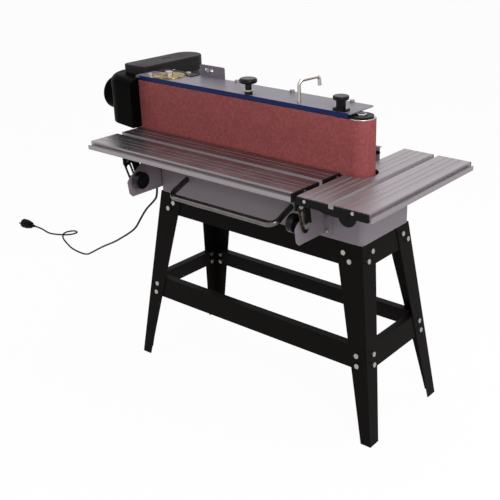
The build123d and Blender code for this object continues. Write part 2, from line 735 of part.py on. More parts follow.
# Carrier of the end table: foot on the base, gussets and a bar with a pinned ear at each end
BAR_X = (PIVOT_X - 4 - CARRIER_BAR_W, PIVOT_X - 4)
BAR_Z = (PIVOT_Z - 7 - CARRIER_BAR_H, PIVOT_Z - 7)
FOOT_X = (BASE_RIGHT - CARRIER_FOOT, BASE_RIGHT - 1)
FOOT_TOP = BASE_TOP + CARRIER_T
with BuildPart() as end_table_carrier:
    block(FOOT_X, (STAND_Y - CARRIER_HALF, STAND_Y + CARRIER_HALF), (BASE_TOP, FOOT_TOP))
    block(BAR_X, (EAR_Y[0], EAR_Y[1] + CARRIER_EAR_T), BAR_Z)
    for y in (STAND_Y - GUSSET_HALF, STAND_Y + GUSSET_HALF):
        with BuildSketch(Plane.XZ.offset(-y)):
            with BuildLine():
                Polyline(
                    (FOOT_X[0] + 6, FOOT_TOP),
                    (BAR_X[0] + 2, BAR_Z[1]),
                    (BAR_X[1], BAR_Z[0]),
                    (FOOT_X[1], FOOT_TOP),
                    close=True,
                )
            make_face()
        extrude(amount=-GUSSET_T)
    for y in EAR_Y:
        with BuildSketch(Plane.XZ.offset(-y)):
            with Locations((PIVOT_X, PIVOT_Z)):
                Circle(CARRIER_EAR_R)
            with BuildLine():
                Polyline(
                    (BAR_X[0], BAR_Z[0]),
                    (BAR_X[0], BAR_Z[1]),
                    (PIVOT_X - CARRIER_EAR_R, PIVOT_Z),
                    (PIVOT_X, PIVOT_Z),
                    (PIVOT_X, PIVOT_Z - CARRIER_EAR_R),
                    (BAR_X[1], BAR_Z[0]),
                    close=True,
                )
            make_face()
        extrude(amount=-CARRIER_EAR_T)
    for y, (face, away) in zip(EAR_Y, PLATE_FACES):
        round_y(PIVOT_R, PIVOT_X, y, face + away * PIVOT_END, PIVOT_Z)
    for x, y in carrier_bolts:
        round_z(BOLT_R, x, y, BASE_TOP - 1, FOOT_TOP + 1, Mode.SUBTRACT)
keep(end_table_carrier, "end_table_carrier")

# Arms of the front table: a bar under the table with hinge lug and hanging tongue
arm_outline = [
    (STRUT_Y - 13, TABLE_BOTTOM),
    (STRUT_Y - 13, STRUT_Z - 9),
    (CLAMP_Y - 2, CLAMP_Z + 49),
    (CLAMP_Y + 11, CLAMP_Z + 4),
    (CLAMP_Y + 31, CLAMP_Z - 1),
    (CLAMP_Y + 21, HINGE_Z),
    (HINGE_Y, HINGE_Z),
    (HINGE_Y + EAR_R, HINGE_Z),
    (HINGE_Y + EAR_R, TABLE_BOTTOM),
]
end_screws = [(TABLE_FRONT + 49, TABLE_TOP - 7.5), (TABLE_REAR - 13, TABLE_TOP - 7.5)]
FRONT_SLOT_Y = TABLE_REAR - FRONT_PLANK_IN - SLOT_W / 2


def build_arm(side):
    """One arm; the right one also closes the end of the table."""
    outer, away = side
    inner = outer + away * ARM_GAP
    with BuildPart() as arm:
        with BuildSketch(Plane.YZ.offset(inner)):
            with BuildLine():
                Polyline(*arm_outline, close=True)
            make_face()
            with Locations((HINGE_Y, HINGE_Z)):
                Circle(EAR_R)
            if side == RIGHT_SIDE:
                width = TABLE_REAR - TABLE_FRONT
                with Locations((TABLE_FRONT + width / 2, TABLE_BOTTOM + TABLE_H / 2)):
                    Rectangle(width, TABLE_H)
                with Locations((FRONT_SLOT_Y, TABLE_TOP)):
                    Rectangle(SLOT_W, 2 * SLOT_D, mode=Mode.SUBTRACT)
                with Locations(*end_screws):
                    Circle(SCREW_R, mode=Mode.SUBTRACT)
            with Locations((HINGE_Y, HINGE_Z)):
                Circle(HINGE_R + RUN_GAP, mode=Mode.SUBTRACT)
            with Locations((STRUT_Y, STRUT_Z)):
                Circle(BOLT_R, mode=Mode.SUBTRACT)
        extrude(amount=away * ARM_T)
        if side == LEFT_SIDE:
            block(
                (inner - ARM_T - 22, inner - ARM_T),
                (TABLE_FRONT + 40, HINGE_Y - 20),
                (TABLE_BOTTOM - 3, TABLE_BOTTOM),
            )
    return arm


keep(build_arm(LEFT_SIDE), "front_table_arm_left")
keep(build_arm(RIGHT_SIDE), "front_table_end_plate")

# Struts: slotted straps fixed to the arms, held by the clamp bolts
STRUT_WAY = (0, -cos(radians(STRUT_ANGLE)), -sin(radians(STRUT_ANGLE)))
SLOT_TOP = 21.0
SLOT_BOTTOM = STRUT_PIN + 4
with BuildPart() as table_struts:
    for outer, away in (LEFT_SIDE, RIGHT_SIDE):
        face = outer + away * (ARM_GAP + ARM_T + STRUT_GAP)
        strap = Plane((face, STRUT_Y, STRUT_Z), x_dir=STRUT_WAY, z_dir=(away, 0, 0))
        with BuildSketch(strap):
            with Locations(((STRUT_PIN + STRUT_END - STRUT_HEAD) / 2, 0)):
                SlotOverall(STRUT_HEAD + STRUT_PIN + STRUT_END, STRUT_W)
            Circle(BOLT_R, mode=Mode.SUBTRACT)
            with Locations(((SLOT_TOP + SLOT_BOTTOM) / 2, 0)):
                SlotCenterToCenter(SLOT_BOTTOM - SLOT_TOP, STRUT_SLOT_W, mode=Mode.SUBTRACT)
        extrude(amount=STRUT_T)
keep(table_struts, "table_struts")

# Screws of the front table: strut screws, end plate screws, screws under the left arm
with BuildPart() as front_table_screws:
    for outer, away in (LEFT_SIDE, RIGHT_SIDE):
        arm_face = outer + away * ARM_GAP
        strut_face = outer + away * (ARM_GAP + ARM_T + STRUT_GAP + STRUT_T)
        round_x(BOLT_R, arm_face, strut_face, STRUT_Y, STRUT_Z)
        round_x(6.5, strut_face, strut_face + away * 4, STRUT_Y, STRUT_Z)
    for y, z in end_screws:
        face = FRONT_TABLE_X1 + ARM_T
        round_x(SCREW_R, FRONT_TABLE_X1, face, y, z)
        round_x(4.5, face, face + 2.5, y, z)
keep(front_table_screws, "front_table_screws")

# Clamp bolts with a shoulder between plate and strut, and the hinge pins
with BuildPart() as bracket_pins:
    for outer, away in (LEFT_SIDE, RIGHT_SIDE):
        inner = outer - away * BRACKET_T
        arm_end = outer + away * (ARM_GAP + ARM_T)
        strut_end = arm_end + away * (STRUT_GAP + STRUT_T + 0.3)
        tip = inner - away * (KNOB_STAND + KNOB_T - 3)
        round_x(CLAMP_R, tip, strut_end, CLAMP_Y, CLAMP_Z)
        round_x(SHOULDER_R, outer, arm_end + away * 0.2, CLAMP_Y, CLAMP_Z)
        round_x(7.2, strut_end, strut_end + away * 5, CLAMP_Y, CLAMP_Z)
        round_x(HINGE_R, inner - away * 3, arm_end + away * 0.3, HINGE_Y, HINGE_Z)
        round_x(7, arm_end + away * 0.3, arm_end + away * 4, HINGE_Y, HINGE_Z)
keep(bracket_pins, "bracket_pins")

# Clamp knobs: round grips with a hub, threaded on the clamp bolts
for name, (outer, away) in (("left", LEFT_SIDE), ("right", RIGHT_SIDE)):
    inner = outer - away * BRACKET_T
    grip = inner - away * KNOB_STAND
    with BuildPart() as clamp_knob:
        round_x(KNOB_R, grip, grip - away * KNOB_T, CLAMP_Y, CLAMP_Z)
        fillet(clamp_knob.edges().filter_by(GeomType.CIRCLE), 4)
        round_x(HUB_R, inner - away * 0.5, grip - away * 2, CLAMP_Y, CLAMP_Z)
        bore_end = grip - away * (KNOB_T - 2)
        round_x(CLAMP_R + RUN_GAP, inner, bore_end, CLAMP_Y, CLAMP_Z, Mode.SUBTRACT)
    keep(clamp_knob, f"clamp_knob_{name}")

def cover_plan(inset):
    """Outline of the V-belt cover in plan, drawn in by a distance."""
    side = DRIVE_COVER_R - DRIVE_COVER_CORNER
    corner_y = DRUM_Y - DRIVE_COVER_END + DRIVE_COVER_CORNER
    with Locations((DRUM_X - side, corner_y), (DRUM_X + side, corner_y)):
        Circle(DRIVE_COVER_CORNER - inset)
    with Locations((DRUM_X, MOTOR_Y)):
        Circle(DRIVE_COVER_R - inset)
    make_hull()


# Head frame: box beam on two feet, lower drum arm, bulkhead and the plate on top
PLATE_X0 = COVER_X0 - 8
PLATE_X1 = HEAD_X1 - 1
LOWER_Z0 = HEAD_Z0 - LOWER_ARM_T
top_bolts = [*REAR_BOLTS, SIDE_BOLT, TAB_BOLT, (FLANGE_X, FLANGE_Y)]
with BuildPart() as head_frame:
    block((HEAD_X0, HEAD_X1), (HEAD_Y0, HEAD_Y1), (HEAD_Z0, HEAD_Z1))
    inside_z = (HEAD_Z0 + HEAD_WALL, HEAD_Z1 - HEAD_WALL)
    block((HEAD_X0 - 1, HEAD_X1 + 1), MID_HEAD, inside_z, Mode.SUBTRACT)
    block((BULKHEAD_X, BULKHEAD_X + 6), MID_HEAD, (ROD_Z - 30, ROD_Z + 30))
    for x in (BASE_LEFT + HEAD_FEET[0], BASE_RIGHT - HEAD_FEET[1]):
        block((x - 35, x + 35), (HEAD_Y0 + 6, HEAD_Y1 - 6), (BASE_TOP, HEAD_Z0))
        block((x - 50, x + 50), (HEAD_Y0 + 2, HEAD_Y1 - 2), (BASE_TOP, BASE_TOP + 8))
    with BuildSketch(Plane.XY.offset(LOWER_Z0)):
        with Locations((DRUM_X, DRUM_Y)):
            Circle(34)
        with Locations((HEAD_X0 + 60, MID_Y)):
            Rectangle(120, 40)
        make_hull()
        with Locations((DRUM_X, DRUM_Y)):
            Circle(SHAFT_R + 1.5, mode=Mode.SUBTRACT)
    extrude(amount=LOWER_ARM_T)
    with BuildSketch(Plane.XY.offset(HEAD_Z1)):
        cover_plan(DRIVE_COVER_WALL + PLATE_GAP)
        plate_y = (COVER_FRONT + 2, COVER_REAR - 2)
        with Locations(((PLATE_X0 + PLATE_X1) / 2, sum(plate_y) / 2)):
            Rectangle(PLATE_X1 - PLATE_X0, plate_y[1] - plate_y[0])
        with Locations((DRUM_X, DRUM_Y)):
            Circle(SHAFT_R + 1.5, mode=Mode.SUBTRACT)
        with Locations((DRUM_X, MOTOR_Y)):
            Circle(MOTOR_SHAFT_R + 2, mode=Mode.SUBTRACT)
        with Locations(*top_bolts):
            Circle(BOLT_R, mode=Mode.SUBTRACT)
        with Locations((TOP_KNOB_X, TOP_KNOB_Y)):
            Circle(STEM_R + RUN_GAP, mode=Mode.SUBTRACT)
    extrude(amount=TOP_PLATE_T)
    lever_bore = LEVER_R + RUN_GAP
    round_z(lever_bore, LEVER_X, LEVER_Y, inside_z[1] - 1, PLATE_TOP + 1, Mode.SUBTRACT)
    rod_bore = ROD_R + HOLE_GAP
    round_x(rod_bore, BULKHEAD_X - 1, BULKHEAD_X + 7, MID_Y, ROD_Z, Mode.SUBTRACT)
keep(head_frame, "head_frame")

# Platen: the flat steel face that backs the belt
with BuildPart() as platen:
    platen_z = (BELT_Z0 + PLATEN_MARGIN, BELT_Z1 - PLATEN_MARGIN)
    block((HEAD_X0, PLATEN_X1), (PLATEN_FRONT, HEAD_Y0), platen_z)
    fillet(platen.edges().filter_by(Axis.Z).group_by(Axis.Y)[0], 2)
keep(platen, "platen")

# Sheet cover on the head, with an upright slotted lug at the rear
LUG_SLOT = (LUG_X[0] + 36, 20.0)
track_screws = [(TRACK_X + side * 16.7, TRACK_Y + 1) for side in (-1, 1)]
with BuildPart() as top_cover:
    block((COVER_X0, COVER_X1), (COVER_FRONT, COVER_REAR), (PLATE_TOP, COVER_TOP))
    right_corners = top_cover.edges().filter_by(Axis.Z).group_by(Axis.X)[-1]
    fillet(right_corners, 6)
    block(LUG_X, (COVER_REAR - COVER_T, COVER_REAR), (COVER_TOP, COVER_TOP + LUG_H))
    fillet(top_cover.edges().filter_by(Axis.Y).group_by(Axis.Z)[-1], 5)
    with BuildSketch(Plane.XZ.offset(-COVER_REAR)):
        with Locations((LUG_SLOT[0], COVER_TOP + LUG_SLOT[1])):
            SlotOverall(34, 2 * (BOLT_R + HOLE_GAP))
    extrude(amount=COVER_T, mode=Mode.SUBTRACT)
    with BuildSketch(Plane.XY.offset(PLATE_TOP)):
        with Locations(*top_bolts):
            Circle(BOLT_R)
        with Locations((TOP_KNOB_X, TOP_KNOB_Y), (TRACK_X, TRACK_Y)):
            Circle(STEM_R + RUN_GAP)
        with Locations((LEVER_X, LEVER_Y)):
            Circle(LEVER_R + RUN_GAP)
        with Locations(*track_screws):
            Circle(SCREW_R)
    extrude(amount=COVER_T, mode=Mode.SUBTRACT)
keep(top_cover, "top_cover")

# Coloured strip along the front edge of the cover
with BuildPart() as front_trim:
    trim_y = (COVER_FRONT - TRIM_T, COVER_FRONT)
    block((GUARD_X1 + 1, COVER_X1 - 6), trim_y, (COVER_TOP - TRIM_H, COVER_TOP))
keep(front_trim, "front_trim")

# Plated flange on the cover
with BuildPart() as column_flange:
    round_z(FLANGE_R, FLANGE_X, FLANGE_Y, COVER_TOP, COVER_TOP + FLANGE_T)
    chamfer(column_flange.edges().group_by(Axis.Z)[-1], 1.5)
    bore_z = (COVER_TOP - 1, COVER_TOP + FLANGE_T + 1)
    round_z(BOLT_R, FLANGE_X, FLANGE_Y, *bore_z, Mode.SUBTRACT)
keep(column_flange, "column_flange")

# V-belt cover: a long cap, square in front, with a skirt behind and a tab on the sheet cover
GUARD_Z0 = TABLE_TOP + GUARD_LIFT
GUARD_Z1 = HEAD_Z1 - 0.5
CAP_TOP = PLATE_TOP + DRIVE_COVER_H
SKIRT_Z = PLATE_TOP - SKIRT_DROP
TAB_T = 2.5
TAB_X1 = TAB_BOLT[0] + 28
with BuildPart() as drive_cover:
    for top, inset, mode in (
        (CAP_TOP, 0, Mode.ADD),
        (CAP_TOP - DRIVE_COVER_WALL, DRIVE_COVER_WALL, Mode.SUBTRACT),
    ):
        with BuildSketch(Plane.XY.offset(SKIRT_Z)):
            cover_plan(inset)
        extrude(amount=top - SKIRT_Z, mode=mode)
    fillet(drive_cover.edges().group_by(Axis.Z)[-1], 4)
    front_half = (DRUM_Y - DRIVE_COVER_R, DRUM_Y + GUARD_R + SKIRT_GAP)
    cap_x = (DRUM_X - DRIVE_COVER_R - 1, DRUM_X + DRIVE_COVER_R + 1)
    block(cap_x, front_half, (SKIRT_Z - 1, GUARD_Z1 + 0.5), Mode.SUBTRACT)
    plate_way = (COVER_FRONT + 1, COVER_REAR - 1)
    block((PLATE_X0 - 1, cap_x[1]), plate_way, (SKIRT_Z - 1, PLATE_TOP), Mode.SUBTRACT)
    with BuildSketch(Plane.XY.offset(COVER_TOP)):
        tab_x0 = DRUM_X + DRIVE_COVER_R - DRIVE_COVER_WALL + 0.5
        with Locations(((tab_x0 + TAB_X1) / 2, COVER_REAR - 17.5)):
            Rectangle(TAB_X1 - tab_x0, 35)
        with Locations((FLANGE_X, FLANGE_Y)):
            Circle(FLANGE_R + 2, mode=Mode.SUBTRACT)
        with Locations(TAB_BOLT):
            Circle(BOLT_R + HOLE_GAP, mode=Mode.SUBTRACT)
    extrude(amount=TAB_T)
    with BuildSketch(Plane.XY.offset(CAP_TOP)):
        with Locations((DRUM_X - 6, (DRUM_Y + MOTOR_Y) / 2 + 12)):
            SlotOverall(36, 14, rotation=90)
    extrude(amount=-1, mode=Mode.SUBTRACT)
keep(drive_cover, "drive_cover")


# Drum guard: a round shell, open below and towards the belt, with a collar for the dust hose
def guard_form(inset, top):
    """The guard as a solid with a rounded upper edge, drawn in by a distance."""
    corner = GUARD_ROUND + 6
    far_x = GUARD_X1 + 2 * corner
    side_y = (DRUM_Y - GUARD_R - GUARD_FLARE + corner, DRUM_Y + GUARD_R - corner)
    with BuildPart() as form:
        with BuildSketch(Plane.XY.offset(GUARD_Z0)):
            with Locations((DRUM_X, DRUM_Y)):
                Circle(GUARD_R - inset)
            with Locations((far_x, side_y[0]), (far_x, side_y[1])):
                Circle(corner - inset)
            make_hull()
        extrude(amount=top - GUARD_Z0)
        fillet(form.edges().group_by(Axis.Z)[-1], GUARD_ROUND - inset)
        spare_y = (side_y[0] - corner - 1, side_y[1] + corner + 1)
        spare_x = (GUARD_X1 - inset, far_x + corner + 1)
        block(spare_x, spare_y, (GUARD_Z0 - 1, top + 1), Mode.SUBTRACT)
    return form.part


RETURN_Y = BELT_FRONT - 3
PORT_AXIS = TABLE_TOP + PORT_Z
BEARING_R = 26.0
with BuildPart() as drum_guard:
    add(guard_form(0, GUARD_Z1))
    port_root = DRUM_X - GUARD_R / 2
    round_x(PORT_R, PORT_END, port_root, DRUM_Y, PORT_AXIS)
    round_x(PORT_R + PORT_RIM, PORT_END + PORT_COLLAR, port_root, DRUM_Y, PORT_AXIS)
    add(guard_form(GUARD_WALL, ROLL_Z1 + 0.5), mode=Mode.SUBTRACT)
    port_bore = PORT_R - GUARD_WALL
    round_x(port_bore, PORT_END - 1, port_root, DRUM_Y, PORT_AXIS, Mode.SUBTRACT)
    mouth_y = (RETURN_Y, DRUM_Y + GUARD_R + 1)
    block((GUARD_X1 - 9, GUARD_X1 + 1), mouth_y, (GUARD_Z0 - 1, GUARD_Z1 + 1), Mode.SUBTRACT)
    round_z(BEARING_R + 4, DRUM_X, DRUM_Y, ROLL_Z1, GUARD_Z1 + 1, Mode.SUBTRACT)
keep(drum_guard, "drum_guard")

# Drive drum with its shaft, hollowed at both ends around the bearings
RECESS_R = 34.0
RECESS_D = 24.0
SHAFT_TOP = PULLEY_Z + PULLEY_H
BEARING_H = 20.0
with BuildPart() as drive_drum:
    round_z(DRUM_R, DRUM_X, DRUM_Y, ROLL_Z0, ROLL_Z1)
    for z0, z1 in ((ROLL_Z0, ROLL_Z0 + RECESS_D), (ROLL_Z1 - RECESS_D, ROLL_Z1)):
        round_z(RECESS_R, DRUM_X, DRUM_Y, z0, z1, Mode.SUBTRACT)
    round_z(SHAFT_R, DRUM_X, DRUM_Y, LOWER_Z0, SHAFT_TOP)
keep(drive_drum, "drive_drum")

# Bearing housings under the top plate and on the lower arm
with BuildPart() as drum_bearings:
    for z0, z1 in ((HEAD_Z0, HEAD_Z0 + BEARING_H), (HEAD_Z1 - BEARING_H, HEAD_Z1)):
        round_z(BEARING_R, DRUM_X, DRUM_Y, z0, z1)
        round_z(SHAFT_R + RUN_GAP, DRUM_X, DRUM_Y, z0, z1, Mode.SUBTRACT)
keep(drum_bearings, "drum_bearings")


# Pulleys: discs with a square groove that clears the V-belt
def groove_pulley(x, y, pitch):
    """Cut the outline of one pulley into the part that is being made."""
    rim = pitch + VBELT_T / 2 + 1
    root = pitch - VBELT_T / 2 - GROOVE_GAP
    round_z(rim, x, y, PULLEY_Z, PULLEY_Z + PULLEY_FLANGE)
    round_z(rim, x, y, PULLEY_Z + PULLEY_H - PULLEY_FLANGE, PULLEY_Z + PULLEY_H)
    round_z(root, x, y, PULLEY_Z, PULLEY_Z + PULLEY_H)


with BuildPart() as drum_pulley:
    groove_pulley(DRUM_X, DRUM_Y, DRUM_PULLEY_R)
    round_z(SHAFT_R, DRUM_X, DRUM_Y, PULLEY_Z, PULLEY_Z + PULLEY_H, Mode.SUBTRACT)
keep(drum_pulley, "drum_pulley")

VBELT_Z = PULLEY_Z + PULLEY_FLANGE + GROOVE_GAP
with BuildPart() as v_belt:
    for change, mode in ((VBELT_T / 2, Mode.ADD), (-VBELT_T / 2, Mode.SUBTRACT)):
        with BuildSketch(Plane.XY.offset(VBELT_Z)):
            with Locations((DRUM_X, DRUM_Y)):
                Circle(DRUM_PULLEY_R + change)
            with Locations((DRUM_X, MOTOR_Y)):
                Circle(MOTOR_PULLEY_R + change)
            make_hull()
        extrude(amount=VBELT_H, mode=mode)
keep(v_belt, "v_belt")

# Motor: finned housing with a neck under the head plate, fan cowl and terminal box
NECK_Z0 = HEAD_Z1 - MOTOR_NECK_H
MOTOR_Z0 = NECK_Z0 - MOTOR_H
CORE_R = MOTOR_R - 9
COWL_H = 50.0
ROTOR_Z = (MOTOR_Z0 + COWL_H + 10, NECK_Z0 - 25)
with BuildPart() as motor_body:
    round_z(CORE_R, DRUM_X, MOTOR_Y, MOTOR_Z0, NECK_Z0)
    with BuildSketch(Plane.XY.offset(MOTOR_Z0 + COWL_H)):
        with Locations((DRUM_X, MOTOR_Y)):
            with PolarLocations(CORE_R + 3, 24):
                Rectangle(12, 3)
    extrude(amount=MOTOR_H - COWL_H - 12)
    round_z(MOTOR_R, DRUM_X, MOTOR_Y, NECK_Z0 - 12, NECK_Z0)
    round_z(MOTOR_R + 1, DRUM_X, MOTOR_Y, MOTOR_Z0, MOTOR_Z0 + COWL_H)
    fillet(motor_body.edges().group_by(Axis.Z)[0], 8)
    round_z(MOTOR_NECK_R, DRUM_X, MOTOR_Y, NECK_Z0, HEAD_Z1)
    box_x = (DRUM_X - MOTOR_R - MOTOR_BOX, DRUM_X - CORE_R + 8)
    block(box_x, (MOTOR_Y - 38, MOTOR_Y + 38), (NECK_Z0 - 110, NECK_Z0 - 40))
    cavity = (ROTOR_Z[0] - 4, ROTOR_Z[1] + 4)
    round_z(ROTOR_R + 2, DRUM_X, MOTOR_Y, *cavity, Mode.SUBTRACT)
    bore_z = (cavity[0] - 14, HEAD_Z1 + 1)
    round_z(MOTOR_SHAFT_R + RUN_GAP, DRUM_X, MOTOR_Y, *bore_z, Mode.SUBTRACT)
    with BuildSketch(Plane.XY.offset(MOTOR_Z0)):
        with Locations((DRUM_X, MOTOR_Y)):
            with PolarLocations(38, 12):
                SlotOverall(26, 6)
    extrude(amount=20, mode=Mode.SUBTRACT)
keep(motor_body, "motor_body")

with BuildPart() as motor_rotor:
    round_z(ROTOR_R, DRUM_X, MOTOR_Y, *ROTOR_Z)
    round_z(MOTOR_SHAFT_R, DRUM_X, MOTOR_Y, ROTOR_Z[0] - 14, SHAFT_TOP)
    groove_pulley(DRUM_X, MOTOR_Y, MOTOR_PULLEY_R)
keep(motor_rotor, "motor_rotor")

# Sanding belt: a thin band around drum and idler
with BuildPart() as sanding_belt:
    for gap, mode in ((ROLL_GAP + BELT_T, Mode.ADD), (ROLL_GAP, Mode.SUBTRACT)):
        with BuildSketch(Plane.XY.offset(BELT_Z0)):
            with Locations((DRUM_X, DRUM_Y)):
                Circle(DRUM_R + gap)
            with Locations((IDLER_X, IDLER_Y)):
                Circle(IDLER_R + gap)
            make_hull()
        extrude(amount=BELT_W, mode=mode)
keep(sanding_belt, "sanding_belt")

# Idler roller on its fixed axle
with BuildPart() as idler_roller:
    round_z(IDLER_R, IDLER_X, IDLER_Y, ROLL_Z0, ROLL_Z1)
    fillet(idler_roller.edges().filter_by(GeomType.CIRCLE), 1)
    round_z(AXLE_R + RUN_GAP, IDLER_X, IDLER_Y, ROLL_Z0 - 1, ROLL_Z1 + 1, Mode.SUBTRACT)
keep(idler_roller, "idler_roller")

# Tension slide: bars that run in the beam, a plate, two arms, the axle and a guide rod
SLIDE_X0 = HEAD_X1 + SLIDE_TRAVEL + 1
SLIDE_X1 = SLIDE_X0 + SLIDE_PLATE
UPPER_ARM = (ROLL_Z1 + 1, ROLL_Z1 + 1 + SLIDE_ARM_T)
LOWER_ARM = (ROLL_Z0 - 4.5 - SLIDE_ARM_T, ROLL_Z0 - 4.5)
SLIDE_Y = (MID_Y - 18, MID_Y + 18)
BAR_END = LEVER_X + CRANK + CRANK_PIN_R + 2.2
BAR_TOP = HEAD_Z1 - HEAD_WALL - 0.5
BAR_LOW = HEAD_Z0 + HEAD_WALL + 0.5
with BuildPart() as tension_slide:
    block((SLIDE_X0, SLIDE_X1), (MID_Y - 23, MID_Y + 23), (LOWER_ARM[0], UPPER_ARM[1]))
    block((BAR_END, SLIDE_X1), SLIDE_Y, (BAR_TOP - 11.5, BAR_TOP))
    block((BULKHEAD_X + 10, SLIDE_X1), SLIDE_Y, (BAR_LOW, BAR_LOW + 11.5))
    round_x(ROD_R, BULKHEAD_X - 14, SLIDE_X0, MID_Y, ROD_Z)
    for z0, z1 in (UPPER_ARM, LOWER_ARM):
        block((SLIDE_X0, IDLER_X), (IDLER_Y - SLIDE_ARM_R, IDLER_Y + SLIDE_ARM_R), (z0, z1))
        round_z(SLIDE_ARM_R, IDLER_X, IDLER_Y, z0, z1)
    round_z(AXLE_R, IDLER_X, IDLER_Y, LOWER_ARM[0] - 4, UPPER_ARM[1] + 1.2)
keep(tension_slide, "tension_slide")

# Tension spring around the guide rod
SPRING_X0 = BULKHEAD_X + 6 + SPRING_WIRE + 0.3
SPRING_L = SLIDE_X0 - SPRING_WIRE - 0.3 - SPRING_X0
with BuildPart() as tension_spring:
    with BuildLine() as coil:
        Helix(
            pitch=SPRING_L / 7,
            height=SPRING_L,
            radius=SPRING_R,
            center=(SPRING_X0, MID_Y, ROD_Z),
            direction=(1, 0, 0),
        )
    with BuildSketch(Plane(coil.wire() @ 0, z_dir=coil.wire() % 0)):
        Circle(SPRING_WIRE)
    sweep(is_frenet=True)
keep(tension_spring, "tension_spring")

# Tension lever: a bent rod above the cover, with a crank below it inside the beam
CRANK_Z = BAR_TOP - 20
lever_points = [
    (LEVER_X, LEVER_Y, COVER_TOP + 1),
    (LEVER_X, LEVER_Y, COVER_TOP + 59),
    (LEVER_X + 25, LEVER_Y + 53, COVER_TOP + 65),
    (LEVER_X + 26, LEVER_Y + 55, COVER_TOP + 41),
]
with BuildPart() as tension_lever:
    with BuildLine():
        FilletPolyline(*lever_points, radius=[14, 8])
    with BuildSketch(Plane.XY.offset(COVER_TOP + 1)):
        with Locations((LEVER_X, LEVER_Y)):
            Circle(LEVER_GRIP_R)
    sweep()
    round_z(LEVER_R, LEVER_X, LEVER_Y, CRANK_Z, COVER_TOP + 2)
    with BuildSketch(Plane.XY.offset(CRANK_Z)):
        with Locations((LEVER_X + CRANK / 2, LEVER_Y)):
            SlotCenterToCenter(CRANK, 2 * CRANK_PIN_R + 2)
    extrude(amount=6)
    round_z(CRANK_PIN_R, LEVER_X + CRANK, LEVER_Y, CRANK_Z, BAR_TOP - 1)
keep(tension_lever, "tension_lever")

# Tracking bracket: a flange screwed to the cover, with a bored post for the tracking stem
TRACK_FLANGE_T = 6.0
TRACK_POST_R = 12.5
TRACK_POST_H = 28.0
KNOB_GAP = 0.3
with BuildPart() as tracking_bracket:
    flange_z = (COVER_TOP, COVER_TOP + TRACK_FLANGE_T)
    block((TRACK_X - 21, TRACK_X + 21), (TRACK_Y - 11, TRACK_Y + 13), flange_z)
    fillet(tracking_bracket.edges().filter_by(Axis.Z), 5)
    round_z(TRACK_POST_R, TRACK_X, TRACK_Y, COVER_TOP, COVER_TOP + TRACK_POST_H)
    bore_z = (COVER_TOP - 1, COVER_TOP + TRACK_POST_H + 1)
    round_z(STEM_R + RUN_GAP, TRACK_X, TRACK_Y, *bore_z, Mode.SUBTRACT)
    for x, y in track_screws:
        round_z(SCREW_R, x, y, *bore_z, Mode.SUBTRACT)
keep(tracking_bracket, "tracking_bracket")

# Tracking knob: a flat grip on a stem
with BuildPart() as tracking_knob:
    knob_z = (COVER_TOP + TRACK_POST_H + KNOB_GAP, COVER_TOP + TRACK_POST_H + 11)
    round_z(TRACK_KNOB_R, TRACK_X, TRACK_Y, *knob_z)
    fillet(tracking_knob.edges().filter_by(GeomType.CIRCLE), 3)
    round_z(STEM_R, TRACK_X, TRACK_Y, PLATE_TOP, knob_z[1] - 4)
keep(tracking_knob, "tracking_knob")

# Mushroom knob: a flattened ball on a post
POST_R = 9.0
CAP_Z = (COVER_TOP + 31, COVER_TOP + 45)
with BuildPart() as top_knob:
    round_z(TOP_KNOB_R, TOP_KNOB_X, TOP_KNOB_Y, *CAP_Z)
    fillet(top_knob.edges().filter_by(GeomType.CIRCLE), 6.5)
    round_z(POST_R, TOP_KNOB_X, TOP_KNOB_Y, COVER_TOP + KNOB_GAP, CAP_Z[0] + 3)
    round_z(POST_R + 2, TOP_KNOB_X, TOP_KNOB_Y, COVER_TOP + KNOB_GAP, COVER_TOP + 9)
    round_z(STEM_R, TOP_KNOB_X, TOP_KNOB_Y, HEAD_Z1 + 1, CAP_Z[0])
keep(top_knob, "top_knob")

# Rear sheet behind the belt with a turning catch at its right end
SHEET_T = 2.5
SHEET_Z = (STAND_H + 17, BASE_TOP + REAR_SHEET_TOP)
CATCH_AT = (REAR_SHEET_X[1] - CATCH_IN, BASE_TOP + CATCH_Z)
CATCH_PIN_R = 3.0
with BuildPart() as rear_sheet:
    block(REAR_SHEET_X, (BASE_REAR, BASE_REAR + SHEET_T), SHEET_Z)
    fold_z = (SHEET_Z[1] - SHEET_T, SHEET_Z[1])
    block(REAR_SHEET_X, (BASE_REAR, BASE_REAR + 10), fold_z)
    for x, z in rear_screws:
        round_y(SCREW_R + HOLE_GAP, x, BASE_REAR - 1, BASE_REAR + 4, z, Mode.SUBTRACT)
    catch_bore = (BASE_REAR - 1, BASE_REAR + SHEET_T + 1)
    round_y(CATCH_PIN_R + RUN_GAP, CATCH_AT[0], *catch_bore, CATCH_AT[1], Mode.SUBTRACT)
keep(rear_sheet, "rear_sheet")

with BuildPart() as guard_catch:
    with BuildSketch(Plane.XZ.offset(-BASE_REAR + 0.3)):
        with Locations((CATCH_AT[0] + 2, CATCH_AT[1])):
            SlotOverall(18, 9)
    extrude(amount=5)
    round_y(CATCH_PIN_R, CATCH_AT[0], BASE_REAR - 2, BASE_REAR + SHEET_T + 2, CATCH_AT[1])
keep(guard_catch, "guard_catch")

